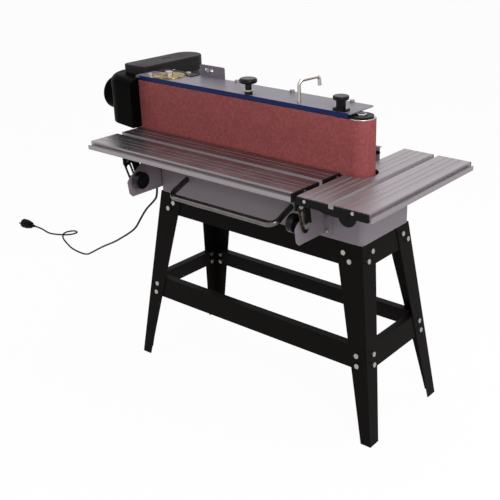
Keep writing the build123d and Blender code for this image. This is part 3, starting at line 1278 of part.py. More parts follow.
# Screws and bolts of base and head
HEX = 6.5
with BuildPart() as machine_screws:
    for x, z in flange_screws:
        face = BASE_FRONT - BRACKET_T
        round_y(SCREW_R, x, face, BASE_FRONT + BASE_SHEET, z)
        round_y(5, x, face - 3, face, z)
    for y, z in side_screws:
        face = BASE_LEFT - BRACKET_T
        round_x(SCREW_R, face, BASE_LEFT + BASE_SHEET, y, z)
        round_x(5, face - 3, face, y, z)
    for x, z in rear_screws:
        face = BASE_REAR + SHEET_T
        round_y(SCREW_R, x, BASE_REAR - BASE_SHEET, face, z)
        round_y(5, x, face, face + 3, z)
    for (x, y), seat, head in (
        *[(place, COVER_TOP, 8.0) for place in (*REAR_BOLTS, SIDE_BOLT)],
        (TAB_BOLT, COVER_TOP + TAB_T, 6.0),
        ((FLANGE_X, FLANGE_Y), COVER_TOP + FLANGE_T, 11.0),
    ):
        round_z(BOLT_R, x, y, HEAD_Z1, seat)
        with BuildSketch(Plane.XY.offset(seat)):
            with Locations((x, y)):
                RegularPolygon(HEX if head < 10 else 1.5 * HEX, 6, major_radius=False)
        extrude(amount=head)
    for x, y in carrier_bolts:
        round_z(BOLT_R, x, y, BASE_TOP - BASE_SHEET, FOOT_TOP)
        with BuildSketch(Plane.XY.offset(FOOT_TOP)):
            with Locations((x, y)):
                RegularPolygon(HEX, 6, major_radius=False)
        extrude(amount=BOLT_HEAD)
    for x, y in track_screws:
        seat = COVER_TOP + TRACK_FLANGE_T
        round_z(SCREW_R, x, y, PLATE_TOP, seat)
        round_z(3.5, x, y, seat, seat + 4)
    lug_z = COVER_TOP + LUG_SLOT[1]
    lug_front = COVER_REAR - COVER_T
    round_y(BOLT_R, LUG_SLOT[0], lug_front, COVER_REAR + 8, lug_z)
    with BuildSketch(Plane.XZ.offset(-lug_front)):
        with Locations((LUG_SLOT[0], lug_z)):
            RegularPolygon(HEX, 6, major_radius=False)
    extrude(amount=5)
keep(machine_screws, "machine_screws")

# Switch box on the left bracket, with two buttons on its outer face
BOX_X1 = BASE_LEFT - BRACKET_T
BOX_X0 = BOX_X1 - BOX_DEEP
box_y = (HINGE_Y + BOX_FROM_HINGE[0], HINGE_Y + BOX_FROM_HINGE[1])
box_z = (STAND_H + BOX_Z[0], STAND_H + BOX_Z[1])
button_at = [(HINGE_Y + y, STAND_H + BUTTON_Z) for y in BUTTON_FROM_HINGE]
with BuildPart() as switch_box:
    block((BOX_X0, BOX_X1), box_y, box_z)
    fillet(switch_box.edges().filter_by(Axis.X), 6)
    fillet(switch_box.faces().sort_by(Axis.X)[0].edges(), 3)
    for y, z in button_at:
        round_x(BUTTON_R + BUTTON_GAP, BOX_X0 - 1, BOX_X0 + 14, y, z, Mode.SUBTRACT)
    for y, z in side_screws:
        round_x(6, BOX_X1 - 4, BOX_X1 + 1, y, z, Mode.SUBTRACT)
keep(switch_box, "switch_box")

for name, (y, z) in zip(("start", "stop"), button_at):
    with BuildPart() as button:
        round_x(BUTTON_R, BOX_X0 - 4, BOX_X0 + 10, y, z)
        fillet(button.edges().filter_by(GeomType.CIRCLE).group_by(Axis.X)[0], 1.5)
    keep(button, f"{name}_button")

# Cord: gland under the switch box, tube in straight runs with tangent arcs, plug
CORD_X = BOX_X0 + CORD_IN
CORD_Y = HINGE_Y + CORD_FROM_HINGE
GLAND_Z = box_z[0] - GLAND_H
CORD_LIE = CORD_R + 0.3
cord_points = [
    (CORD_X, CORD_Y, GLAND_Z),
    (CORD_X, CORD_Y, 508),
    (-350, -81, 473),
    (-408, -58, 432),
    (-459, -39, 384),
    (-518, -16, 325),
    (-587, 10, 281),
    (-660, 38, 238),
    (-732, 65, 196),
    (-807, 94, 157),
    (-879, 121, 119),
    (-951, 149, 79),
    (-1021, 176, 39),
    (-1072, 192, 12),
    (-1122, 199, CORD_LIE),
    (-1186, 207, CORD_LIE),
    (-1251, 231, CORD_LIE),
    (-1313, 258, CORD_LIE),
    (-1356, 298, CORD_LIE),
    (-1334, 338, 5),
    (-1294, 326, 8.5),
    (-1298, 281, 11.5),
    (-1346, 258, 9.5),
    (-1398, 252, 5),
    (-1440, 249, PLUG_R + 0.5),
    (-1480, 246, PLUG_R + 0.5),
]


def run_radii(points):
    """A bend radius for each inner point: 0.45 of the shorter run over tan(half turn)."""
    radii = []
    for before, here, after in zip(points, points[1:], points[2:]):
        run_in = Vector(*here) - Vector(*before)
        run_out = Vector(*after) - Vector(*here)
        turn = radians(run_in.get_angle(run_out))
        radii.append(0.45 * min(run_in.length, run_out.length) / tan(turn / 2))
    return radii


cord_radii = run_radii(cord_points)
print("cord radii", [round(radius, 1) for radius in cord_radii])

with BuildPart() as cord_gland:
    round_z(GLAND_R, CORD_X, CORD_Y, box_z[0] - 8, box_z[0])
    with BuildSketch(Plane.XY.offset(box_z[0] - 8)):
        with Locations((CORD_X, CORD_Y)):
            Circle(GLAND_R - 2)
    extrude(amount=-(GLAND_H - 8), taper=12)
keep(cord_gland, "cord_gland")

with BuildPart() as cord:
    with BuildLine() as route:
        FilletPolyline(*cord_points, radius=cord_radii)
    with BuildSketch(Plane(route.wire() @ 0, z_dir=route.wire() % 0)):
        Circle(CORD_R)
    sweep()
keep(cord, "cord")
cord_length = route.wire().length
print("cord length", round(cord_length, 1), "volume ratio",
      round(cord.part.volume / (cord_length * 3.14159265 * CORD_R**2), 4))

# Plug: a moulded body with a tapered sleeve and two round pins, in line with the cord
PLUG_PIN_R = 2.4
PLUG_PIN_L = 19.0
PLUG_PIN_GAP = 19.0
SLEEVE_L = 22.0
plug_way = Vector(*cord_points[-1]) - Vector(*cord_points[-2])
plug_way = Vector(plug_way.X, plug_way.Y, 0).normalized()
plug_start = Plane(cord_points[-1], x_dir=(0, 0, 1), z_dir=plug_way)
with BuildPart() as plug:
    with BuildSketch(plug_start):
        Circle(CORD_R + 1.5)
    with BuildSketch(plug_start.offset(SLEEVE_L)):
        Circle(CORD_R + 5)
    loft()
    with BuildSketch(plug_start.offset(SLEEVE_L)):
        Circle(PLUG_R * 0.72)
    with BuildSketch(plug_start.offset(SLEEVE_L + PLUG_L / 2)):
        Circle(PLUG_R)
    loft()
    with BuildSketch(plug_start.offset(SLEEVE_L + PLUG_L / 2)):
        Circle(PLUG_R)
    extrude(amount=PLUG_L / 2)
    with BuildSketch(plug_start.offset(SLEEVE_L + PLUG_L)):
        with Locations((0, -PLUG_PIN_GAP / 2), (0, PLUG_PIN_GAP / 2)):
            Circle(PLUG_PIN_R)
    extrude(amount=PLUG_PIN_L)
keep(plug, "plug")
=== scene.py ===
from math import cos, pi, radians, sin

import bpy
from mathutils import Euler, Matrix, Vector


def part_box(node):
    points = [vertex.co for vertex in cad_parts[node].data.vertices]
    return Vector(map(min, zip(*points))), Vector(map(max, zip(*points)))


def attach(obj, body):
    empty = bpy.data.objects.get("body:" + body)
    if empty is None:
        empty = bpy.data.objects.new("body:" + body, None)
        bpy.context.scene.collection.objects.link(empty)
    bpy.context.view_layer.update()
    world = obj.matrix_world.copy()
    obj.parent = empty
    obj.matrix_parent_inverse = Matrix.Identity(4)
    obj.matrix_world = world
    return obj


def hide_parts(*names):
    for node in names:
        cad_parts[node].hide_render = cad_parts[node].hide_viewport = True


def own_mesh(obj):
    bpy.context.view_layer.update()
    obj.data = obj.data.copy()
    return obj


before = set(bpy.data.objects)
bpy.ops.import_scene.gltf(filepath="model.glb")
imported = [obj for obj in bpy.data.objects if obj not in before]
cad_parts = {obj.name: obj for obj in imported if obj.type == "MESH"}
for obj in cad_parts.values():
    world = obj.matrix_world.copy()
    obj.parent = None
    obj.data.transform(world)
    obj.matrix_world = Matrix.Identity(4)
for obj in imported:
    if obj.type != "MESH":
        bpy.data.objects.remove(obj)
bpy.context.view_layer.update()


# Stand: four splayed legs, four rails and four stretchers, folded from steel sheet and
# sprayed satin black. The paint has a fine orange peel and is rubbed along its folds.
def feed(tree, node, feeds):
    """Set inputs of a node, each to a value or to the output that drives it."""
    for key, value in feeds.items():
        if isinstance(value, bpy.types.NodeSocket):
            tree.links.new(value, node.inputs[key])
        else:
            node.inputs[key].default_value = value


def add(tree, kind, feeds=None, **properties):
    """One shader node with its properties and inputs."""
    node = tree.nodes.new(kind)
    for name, value in properties.items():
        setattr(node, name, value)
    feed(tree, node, feeds or {})
    return node


def reckon(tree, operation, a, b):
    """The result of one sum on two values."""
    return add(tree, "ShaderNodeMath", {0: a, 1: b}, operation=operation).outputs[0]


def swing_of(tree, value, amount):
    """A random value turned into a swing to both sides of nought."""
    return reckon(tree, "MULTIPLY", reckon(tree, "SUBTRACT", value, 0.5), amount)


def stretch(tree, value, low, high, to_low, to_high):
    """A value mapped from one span to another, and held at its ends."""
    feeds = {"Value": value, 1: low, 2: high, 3: to_low, 4: to_high}
    return add(tree, "ShaderNodeMapRange", feeds).outputs[0]


def mix(tree, factor, a, b):
    """Two colours mixed."""
    return add(tree, "ShaderNodeMix", {0: factor, 6: a, 7: b}, data_type="RGBA").outputs[2]


def lighten(tree, tint, value):
    """A tint made lighter or darker; a value of one leaves it as it is."""
    return add(tree, "ShaderNodeHueSaturation", {"Value": value, "Color": tint}).outputs[0]


def places(tree):
    """Coordinates on the piece, in metres."""
    return add(tree, "ShaderNodeTexCoord").outputs["Object"]


def noise(tree, vector, scale, detail):
    """A soft random value, with scale in lumps for each metre."""
    feeds = {"Vector": vector, "Scale": scale, "Detail": detail}
    return add(tree, "ShaderNodeTexNoise", feeds).outputs[0]


def begin_effect(name, inputs, outputs):
    """An empty shader node group with its named sockets."""
    effect = bpy.data.node_groups.new(name, "ShaderNodeTree")
    for label, value in inputs.items():
        kind = "NodeSocketFloat" if isinstance(value, float) else "NodeSocketColor"
        kind = "NodeSocketVector" if label == "Along" else kind
        socket = effect.interface.new_socket(label, in_out="INPUT", socket_type=kind)
        socket.default_value = value
    for label in outputs:
        kind = "NodeSocketColor" if label == "Color" else "NodeSocketFloat"
        effect.interface.new_socket(label, in_out="OUTPUT", socket_type=kind)
    return effect, effect.nodes.new("NodeGroupInput").outputs


def end_effect(effect, results):
    """Lead the results of a shader node group to its outputs."""
    add(effect, "NodeGroupOutput", results)


def place_effect(tree, name, feeds):
    """Put a shader node group into a material."""
    return add(tree, "ShaderNodeGroup", feeds, node_tree=bpy.data.node_groups[name]).outputs


def begin_finish(name):
    """A new material, its node tree and its surface shader."""
    material = bpy.data.materials.new(name)
    material.use_nodes = True
    tree = material.node_tree
    return material, tree, tree.nodes["Principled BSDF"]


def raise_surface(tree, surface, height, depth):
    """Bump of a given depth, in metres, from a height value."""
    bump = add(tree, "ShaderNodeBump", {"Height": height, "Distance": depth, "Strength": 1.0})
    feed(tree, surface, {"Normal": bump.outputs[0]})


def coat(material, *names):
    """Give a material to nodes of the frame."""
    for name in names:
        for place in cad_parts[name].material_slots:
            place.link = "OBJECT"
            place.material = material


effect, given = begin_effect(
    "sprayed_paint",
    {"Tint": (0.5, 0.5, 0.5, 1), "Cloud": 0.1, "Peel": 700.0, "Shine": 0.4},
    ("Color", "Roughness", "Height"),
)
spot = places(effect)
swing = swing_of(effect, noise(effect, spot, scale=6.0, detail=4.0), given["Cloud"])
lift = reckon(effect, "ADD", reckon(effect, "MULTIPLY", swing, 2.0), 1.0)
end_effect(effect, {
    "Color": lighten(effect, given["Tint"], lift),
    "Roughness": reckon(effect, "ADD", given["Shine"], swing),
    "Height": noise(effect, spot, scale=given["Peel"], detail=1.0),
})

# The rub begins where the rounded normal leaves the face by about six degrees.
RUB_BEGINS, RUB_FULL = 0.995, 0.8
effect, given = begin_effect(
    "edge_rub", {"Width": 0.002, "Break": 60.0, "Amount": 1.0}, ("Mask",)
)
rounded = add(effect, "ShaderNodeBevel", {"Radius": given["Width"]}, samples=4).outputs[0]
facing = add(effect, "ShaderNodeNewGeometry").outputs["Normal"]
turn = add(effect, "ShaderNodeVectorMath", {0: rounded, 1: facing}, operation="DOT_PRODUCT")
edge = stretch(effect, turn.outputs["Value"], RUB_BEGINS, RUB_FULL, 0.0, 1.0)
lumps = noise(effect, places(effect), scale=given["Break"], detail=3.0)
patch = stretch(effect, lumps, 0.35, 0.7, 0.15, 1.0)
rubbed_edge = reckon(effect, "MULTIPLY", edge, patch)
end_effect(effect, {"Mask": reckon(effect, "MULTIPLY", rubbed_edge, given["Amount"])})


def painted(name, tint, rubbed, shine, peel_depth, cloud, rub, glint):
    """A sprayed paint, paler where its edges are rubbed."""
    material, tree, surface = begin_finish(name)
    skin = place_effect(tree, "sprayed_paint", {"Tint": tint, "Cloud": cloud, "Shine": shine})
    edge_mask = place_effect(tree, "edge_rub", {"Amount": rub})
    feed(tree, surface, {
        "Base Color": mix(tree, edge_mask["Mask"], skin["Color"], rubbed),
        "Roughness": skin["Roughness"],
        "Specular IOR Level": glint,
    })
    raise_surface(tree, surface, skin["Height"], peel_depth)
    return material


satin_black = painted(
    "satin_black",
    tint=(0.0056, 0.0046, 0.0042, 1),
    rubbed=(0.018, 0.016, 0.015, 1),
    shine=0.42,
    peel_depth=0.00004,
    cloud=0.12,
    rub=0.4,
    glint=0.03,
)
sides = ("front", "rear", "left", "right")
coat(satin_black, *[f"stand_leg_{end}_{side}" for end in sides[:2] for side in sides[2:]])
coat(satin_black, *[f"stand_{kind}_{side}" for kind in ("rail", "stretcher") for side in sides])

# Bolts, screws and pins: turned and rolled steel with a bright zinc plate. The plate
# clouds a little and carries the fine rings of the tool.
TOOL_RINGS = 3000.0
TOOL_RING_DEPTH = 0.00001
effect, given = begin_effect(
    "plated_metal",
    {"Tint": (0.6, 0.6, 0.6, 1), "Shine": 0.3, "Lumps": 220.0},
    ("Color", "Roughness", "Height"),
)
spot = places(effect)
cloud = noise(effect, spot, scale=given["Lumps"], detail=3.0)
dull = stretch(effect, cloud, 0.3, 0.7, 0.78, 1.08)
rougher = stretch(effect, cloud, 0.3, 0.7, 0.1, -0.05)
end_effect(effect, {
    "Color": lighten(effect, given["Tint"], dull),
    "Roughness": reckon(effect, "ADD", given["Shine"], rougher),
    "Height": noise(effect, spot, scale=TOOL_RINGS, detail=1.0),
})


def plated(name, tint, shine, lumps=220.0):
    """A plated or ground metal with faint clouds."""
    material, tree, surface = begin_finish(name)
    plate = place_effect(tree, "plated_metal", {"Tint": tint, "Shine": shine, "Lumps": lumps})
    feed(tree, surface, {
        "Base Color": plate["Color"],
        "Roughness": plate["Roughness"],
        "Metallic": 1.0,
    })
    raise_surface(tree, surface, plate["Height"], TOOL_RING_DEPTH)
    return material


bright_zinc = plated("bright_zinc", (0.41, 0.394, 0.374, 1), shine=0.28)
coat(bright_zinc, "stand_bolts", "machine_screws", "bracket_pins")
coat(bright_zinc, "front_table_screws", "end_table_screws")

# Base cabinet and table brackets: folded sheet, sprayed light lilac-grey in a smooth
# semi-gloss, screwed together and to the stand.
lilac_grey = painted(
    "lilac_grey",
    tint=(0.19, 0.16, 0.183, 1),
    rubbed=(0.34, 0.31, 0.34, 1),
    shine=0.36,
    peel_depth=0.00003,
    cloud=0.05,
    rub=0.35,
    glint=0.3,
)
coat(lilac_grey, "base_cabinet", "table_bracket_left", "table_bracket_right")

# Lifting handle: a bent steel tube, polished and nickel plated, and pushed through the front of
# the
# base. Its nickel is tinted dark: painted shade, standing for the dim surroundings it reflects.
nickel_painted_shade = plated("nickel_painted_shade", (0.135, 0.122, 0.114, 1), shine=0.15, lumps=40.0)
coat(nickel_painted_shade, "lift_handle")

# Front table: an aluminium extrusion with fine grooves and a slot, left with the dull grey
# skin of the press. Faint draw lines run along it, and screws hold it on its arms.
DRAW_LINE_DEPTH = 0.00002
effect, given = begin_effect(
    "draw_lines",
    {"Tint": (0.5, 0.5, 0.5, 1), "Along": (1.0, 1.0, 1.0), "Shine": 0.4, "Streak": 0.1},
    ("Color", "Roughness", "Height"),
)
spot = places(effect)
spread = add(effect, "ShaderNodeVectorMath", {0: spot, 1: given["Along"]}, operation="MULTIPLY")
line = noise(effect, spread.outputs[0], scale=1.0, detail=5.0)
swing = swing_of(effect, line, given["Streak"])
lift = reckon(effect, "ADD", reckon(effect, "MULTIPLY", swing, 3.0), 1.0)
smear = swing_of(effect, noise(effect, spot, scale=9.0, detail=3.0), 0.25)
end_effect(effect, {
    "Color": lighten(effect, given["Tint"], lift),
    "Roughness": reckon(effect, "ADD", reckon(effect, "ADD", given["Shine"], swing), smear),
    "Height": line,
})


def drawn(name, tint, along, shine, streak):
    """A bare metal with lines along one way; along is lumps for each metre on each axis."""
    material, tree, surface = begin_finish(name)
    feeds = {"Tint": tint, "Along": along, "Shine": shine, "Streak": streak}
    lines = place_effect(tree, "draw_lines", feeds)
    feed(tree, surface, {
        "Base Color": lines["Color"],
        "Roughness": lines["Roughness"],
        "Metallic": 1.0,
    })
    raise_surface(tree, surface, lines["Height"], DRAW_LINE_DEPTH)
    return material


def open_finish(material):
    """The node tree of a finish, its surface shader and the output that colours it."""
    tree = material.node_tree
    surface = tree.nodes["Principled BSDF"]
    return tree, surface, surface.inputs["Base Color"].links[0].from_socket


# Faces below the table's top and inside its edge, the grooves and slot, which lie in shade.
effect, given = begin_effect(
    "painted_light_faces", {"Along": (0.0, 1.0, 0.0), "Edge": 0.0, "Top": 0.7}, ("Mask",)
)
spot = places(effect)
height = add(effect, "ShaderNodeSeparateXYZ", {0: spot}).outputs["Z"]
below = reckon(effect, "LESS_THAN", height, given["Top"])
reach = add(effect, "ShaderNodeVectorMath", {0: spot, 1: given["Along"]}, operation="DOT_PRODUCT")
within = reckon(effect, "GREATER_THAN", reach.outputs["Value"], given["Edge"])
end_effect(effect, {"Mask": reckon(effect, "MULTIPLY", below, within)})
TABLE_SKIN_Z = 0.7017
# Pale grey for the grooves and slot: painted light that lifts their shade.
GROOVE_PAINTED_LIGHT = (0.3, 0.276, 0.29, 1)


def extruded(name, tint, along, shine, inward, edge):
    """Drawn metal, pale and matte below the top and inside the edge: painted light in grooves."""
    material = drawn(name, tint, along, shine, streak=0.1)
    tree, surface, skin = open_finish(material)
    bounds = {"Along": inward, "Edge": edge, "Top": TABLE_SKIN_Z}
    inside = place_effect(tree, "painted_light_faces", bounds)["Mask"]
    feed(tree, surface, {
        "Base Color": mix(tree, inside, skin, GROOVE_PAINTED_LIGHT),
        "Metallic": reckon(tree, "SUBTRACT", 1.0, inside),
    })
    return material


# Its grey is a little darker than the end table's: painted shade for the belt and guard it
# reflects.
front_skin_painted_shade = extruded(
    "pressed_grey_lengthwise_painted_shade",
    tint=(0.305, 0.276, 0.289, 1),
    along=(1, 260, 260),
    shine=0.3,
    inward=(0, 1, 0),
    edge=-0.251,
)
coat(front_skin_painted_shade, "front_table")

# End table: the same aluminium extrusion laid across the machine, with a round notch milled
# for the belt. It is screwed between two end plates that turn on the carrier.
end_skin = extruded(
    "pressed_grey_crosswise",
    tint=(0.33, 0.298, 0.317, 1),
    along=(260, 1, 260),
    shine=0.42,
    inward=(-1, 0, 0),
    edge=-0.577,
)
coat(end_skin, "end_table")

# Arms and end plates of the tables and the carrier of the end table: cut steel plate,
# sprayed in a smoother black than the stand and screwed on.
plate_black = painted(
    "plate_black",
    tint=(0.0058, 0.005, 0.005, 1),
    rubbed=(0.03, 0.028, 0.027, 1),
    shine=0.34,
    peel_depth=0.00003,
    cloud=0.1,
    rub=0.5,
    glint=0.07,
)
coat(plate_black, "front_table_arm_left", "front_table_end_plate", "end_table_carrier")
coat(plate_black, "end_table_plate_front", "end_table_plate_rear")

# Struts: punched steel straps of yellow zinc with a slot. Their faces are tinted near black, which
# is painted shade, and the zinc's yellow shows only along the edges.
# A screw holds each one on its arm, and the clamp bolt of the bracket runs in the slot.
# Near black on the faces of the zinc: painted shade.
STRAP_PAINTED_SHADE = (0.016, 0.0135, 0.0105, 1)
STRAP_YELLOW = (0.34, 0.26, 0.1, 1)
strap_painted_shade = drawn("strap_painted_shade", STRAP_PAINTED_SHADE, along=(300, 300, 20), shine=0.3, streak=0.25)
tree, surface, skin = open_finish(strap_painted_shade)
# The edge mask keeps the zinc's yellow on the edges, free of the painted shade.
edge_mask = place_effect(tree, "edge_rub", {"Width": 0.0022, "Break": 90.0})
feed(tree, surface, {"Base Color": mix(tree, edge_mask["Mask"], skin, STRAP_YELLOW)})
coat(strap_painted_shade, "table_struts")

# Clamp knobs, tracking knob and mushroom knob: round grips, moulded in black plastic with a
# fine eroded grain and threaded on their bolts.
effect, given = begin_effect(
    "moulded_grain",
    {"Tint": (0.02, 0.02, 0.02, 1), "Shine": 0.45, "Grain": 1400.0},
    ("Color", "Roughness", "Height"),
)
spot = places(effect)
flow = noise(effect, spot, scale=14.0, detail=3.0)
shade = stretch(effect, flow, 0.3, 0.7, 0.85, 1.2)
rougher = stretch(effect, flow, 0.3, 0.7, -0.06, 0.08)
end_effect(effect, {
    "Color": lighten(effect, given["Tint"], shade),
    "Roughness": reckon(effect, "ADD", given["Shine"], rougher),
    "Height": noise(effect, spot, scale=given["Grain"], detail=2.0),
})


def moulded(name, tint, shine, depth, grain=1400.0, glint=0.5):
    """A moulded plastic or rubber with a fine grain."""
    material, tree, surface = begin_finish(name)
    skin = place_effect(tree, "moulded_grain", {"Tint": tint, "Shine": shine, "Grain": grain})
    feed(tree, surface, {
        "Base Color": skin["Color"],
        "Roughness": skin["Roughness"],
        "Specular IOR Level": glint,
    })
    raise_surface(tree, surface, skin["Height"], depth)
    return material


grip_black = moulded(
    "grip_black", (0.005, 0.0045, 0.0045, 1), shine=0.24, depth=0.00003, glint=0.14
)
coat(grip_black, "clamp_knob_left", "clamp_knob_right", "tracking_knob", "top_knob")

# Head frame and rear sheet: welded and folded steel in the same grey as the base. The frame
# stands on the base inside the belt, and the sheet is screwed on behind it.
coat(lilac_grey, "head_frame", "rear_sheet")

# Top cover: a folded sheet over the head, sprayed slate grey in the same gloss as the base
# and bolted along its rear edge.
slate_grey = painted(
    "slate_grey",
    tint=(0.165, 0.146, 0.18, 1),
    rubbed=(0.3, 0.28, 0.32, 1),
    shine=0.36,
    peel_depth=0.00002,
    cloud=0.06,
    rub=0.35,
    glint=0.3,
)
coat(slate_grey, "top_cover")

# Platen: a flat steel bar that backs the belt, ground lengthwise on its face and fixed to
# the front of the head frame.
ground_face = drawn(
    "ground_face", (0.5, 0.49, 0.48, 1), along=(4, 900, 900), shine=0.35, streak=0.15
)
coat(ground_face, "platen")

# Strip along the front edge of the cover: a narrow folded steel edge, sprayed deep blue and
# fixed under the sheet.
deep_blue = painted(
    "deep_blue",
    tint=(0.006, 0.0145, 0.09, 1),
    rubbed=(0.03, 0.045, 0.14, 1),
    shine=0.3,
    peel_depth=0.00002,
    cloud=0.08,
    rub=0.3,
    glint=0.12,
)
coat(deep_blue, "front_trim")

# Flange on the cover: a thin turned steel disc, yellow plated and stained with old grease,
# held by a bolt in its middle.
STAIN_BROWN = (0.05, 0.032, 0.014, 1)
yellow_plate = plated("yellow_plate", (0.44, 0.28, 0.06, 1), shine=0.34, lumps=60.0)
tree, surface, skin = open_finish(yellow_plate)
stain = stretch(tree, noise(tree, places(tree), scale=75.0, detail=3.0), 0.44, 0.56, 0.0, 0.85)
feed(tree, surface, {"Base Color": mix(tree, stain, skin, STAIN_BROWN)})
coat(yellow_plate, "column_flange")

# Drum guard: a moulded shell in black with a fine grain, slipped round the drum. Its left
# end carries the collar of the dust port.
shell_black = moulded(
    "shell_black", (0.0022, 0.0019, 0.0016, 1), shine=0.4, depth=0.00005, grain=1100.0, glint=0.006
)
coat(shell_black, "drum_guard")

# V-belt cover: a pressed cap in charcoal grey, smoother than the guard under it, with a
# tab that a screw holds on the top cover.
cap_charcoal = moulded(
    "cap_charcoal", (0.0145, 0.0112, 0.0135, 1), shine=0.5, depth=0.00003, grain=900.0, glint=0.1
)
coat(cap_charcoal, "drive_cover")

# Drum, idler and drum pulley: turned from aluminium, with the rings of the lathe still on
# them, and run on ground steel shafts.
turned_rings = drawn(
    "turned_rings", (0.6, 0.59, 0.58, 1), along=(30, 30, 1500), shine=0.3, streak=0.15
)
coat(turned_rings, "drive_drum", "idler_roller", "drum_pulley")

# Bearings and rotor: bare steel, ground and turned, and lightly oiled. The bearings are
# pressed into the head frame.
oiled_steel = plated("oiled_steel", (0.36, 0.35, 0.34, 1), shine=0.3, lumps=90.0)
coat(oiled_steel, "drum_bearings", "motor_rotor")

# Tension slide: a welded yoke sprayed black that holds the idler's axle. A thin zinc nut
# with a chamfered rim locks the axle on the upper arm.
RING_POINTS = 24


def ring_of(radius, z, centre, hexagon=False):
    """Points round an upright axis, on a circle or on a hexagon about it."""
    points = []
    for step in range(RING_POINTS):
        angle = 2 * pi * step / RING_POINTS
        out = radius / cos((angle + pi / 6) % (pi / 3) - pi / 6) if hexagon else radius
        points.append((centre[0] + out * cos(angle), centre[1] + out * sin(angle), z))
    return points


def put(name, data):
    """A new object in the scene."""
    thing = bpy.data.objects.new(name, data)
    bpy.context.scene.collection.objects.link(thing)
    return thing


def joined_rings(name, rings, material, capped=False):
    """A closed piece through rings of points: its ends meet, or each has a flat cap."""
    count = len(rings[0])
    faces = []
    for band in range(len(rings) - capped):
        low, high = band * count, (band + 1) % len(rings) * count
        for step in range(count):
            after = (step + 1) % count
            faces.append((low + step, low + after, high + after, high + step))
    if capped:
        last = count * (len(rings) - 1)
        faces += [tuple(reversed(range(count))), tuple(range(last, last + count))]
    mesh = bpy.data.meshes.new(name)
    mesh.from_pydata([point for ring in rings for point in ring], [], faces)
    mesh.materials.append(material)
    return put(name, mesh)


coat(plate_black, "tension_slide")
AXLE = (0.390, -0.0247)
ARM_TOP = 0.8525
NUT_BORE = 0.0082
NUT_FLAT = 0.0125
NUT_RIM = 0.0119
NUT_SHOULDER = ARM_TOP + 0.0028
NUT_TOP = ARM_TOP + 0.0039
nut_rings = [
    ring_of(NUT_BORE, ARM_TOP, AXLE),
    ring_of(NUT_FLAT, ARM_TOP, AXLE, hexagon=True),
    ring_of(NUT_FLAT, NUT_SHOULDER, AXLE, hexagon=True),
    ring_of(NUT_RIM, NUT_TOP, AXLE),
    ring_of(NUT_BORE, NUT_TOP, AXLE),
]
axle_nut = joined_rings("idler_axle_nut", nut_rings, bright_zinc)
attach(axle_nut, "tension_slide")

# Tension spring: seven turns of oiled spring wire, wound round the guide rod. It pushes the
# slide from the bulkhead, and closes when the slide is drawn back.
WIRE_RADIUS = 0.0015
COIL_RADIUS = 0.014
COIL_TURNS = 7
WIRE_SIDES = 12
STEPS_A_TURN = 36
spring_low, spring_high = (Vector(corner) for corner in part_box("tension_spring"))
coil_start = Vector((spring_low.x + WIRE_RADIUS, *((spring_low + spring_high) / 2)[1:]))
coil_length = spring_high.x - spring_low.x - 2 * WIRE_RADIUS
rise = coil_length / (2 * pi * COIL_TURNS)
wire_rings = []
for step in range(COIL_TURNS * STEPS_A_TURN + 1):
    angle = 2 * pi * step / STEPS_A_TURN
    out = Vector((0, cos(angle), sin(angle)))
    onward = Vector((rise, -COIL_RADIUS * sin(angle), COIL_RADIUS * cos(angle))).normalized()
    middle = coil_start + Vector((rise * angle, 0, 0)) + COIL_RADIUS * out
    wire_rings.append([
        middle + WIRE_RADIUS * (cos(turn) * out + sin(turn) * onward.cross(out))
        for turn in (2 * pi * side / WIRE_SIDES for side in range(WIRE_SIDES))
    ])
tension_coil = joined_rings("tension_coil", wire_rings, oiled_steel, capped=True)
wire_faces = tension_coil.data.polygons
wire_faces.foreach_set("use_smooth", [True] * len(wire_faces))
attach(tension_coil, "machine")
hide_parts("tension_spring")
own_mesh(tension_coil)

# Motor: a cast housing with fins, fan cowl and terminal box, hung under a plate behind the
# drum and sprayed black over the rough casting.
cast_black = painted(
    "cast_black",
    tint=(0.013, 0.012, 0.012, 1),
    rubbed=(0.05, 0.05, 0.05, 1),
    shine=0.46,
    peel_depth=0.00012,
    cloud=0.2,
    rub=0.5,
    glint=0.5,
)
coat(cast_black, "motor_body")

# Tension lever: a steel rod bent twice, polished and bright plated. It turns in the cover
# and carries the crank under it.
mirror_plate = plated("mirror_plate", (0.52, 0.48, 0.455, 1), shine=0.24, lumps=40.0)
coat(mirror_plate, "tension_lever")

# Ring under the mushroom knob: a narrow turned band with broken edges, bright plated and
# pressed on the knob's post.
KNOB_AXIS = (0.035, -0.050)
BAND_LOW = 0.8692
BAND_HIGH = BAND_LOW + 0.0040
BAND_BORE = 0.0092
BAND_RADIUS = 0.0124
BAND_END_RADIUS = 0.0116
BAND_BREAK = 0.0010
band_rings = [
    ring_of(BAND_BORE, BAND_LOW, KNOB_AXIS),
    ring_of(BAND_END_RADIUS, BAND_LOW, KNOB_AXIS),
    ring_of(BAND_RADIUS, BAND_LOW + BAND_BREAK, KNOB_AXIS),
    ring_of(BAND_RADIUS, BAND_HIGH - BAND_BREAK, KNOB_AXIS),
    ring_of(BAND_END_RADIUS, BAND_HIGH, KNOB_AXIS),
    ring_of(BAND_BORE, BAND_HIGH, KNOB_AXIS),
]
knob_band = joined_rings("knob_band", band_rings, mirror_plate)
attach(knob_band, "top_knob")

# Tracking bracket and guard catch: small bent steel fittings, sprayed black like the plates
# of the tables. The bracket is screwed on the cover, and the catch turns on its own pin.
coat(plate_black, "tracking_bracket", "guard_catch")

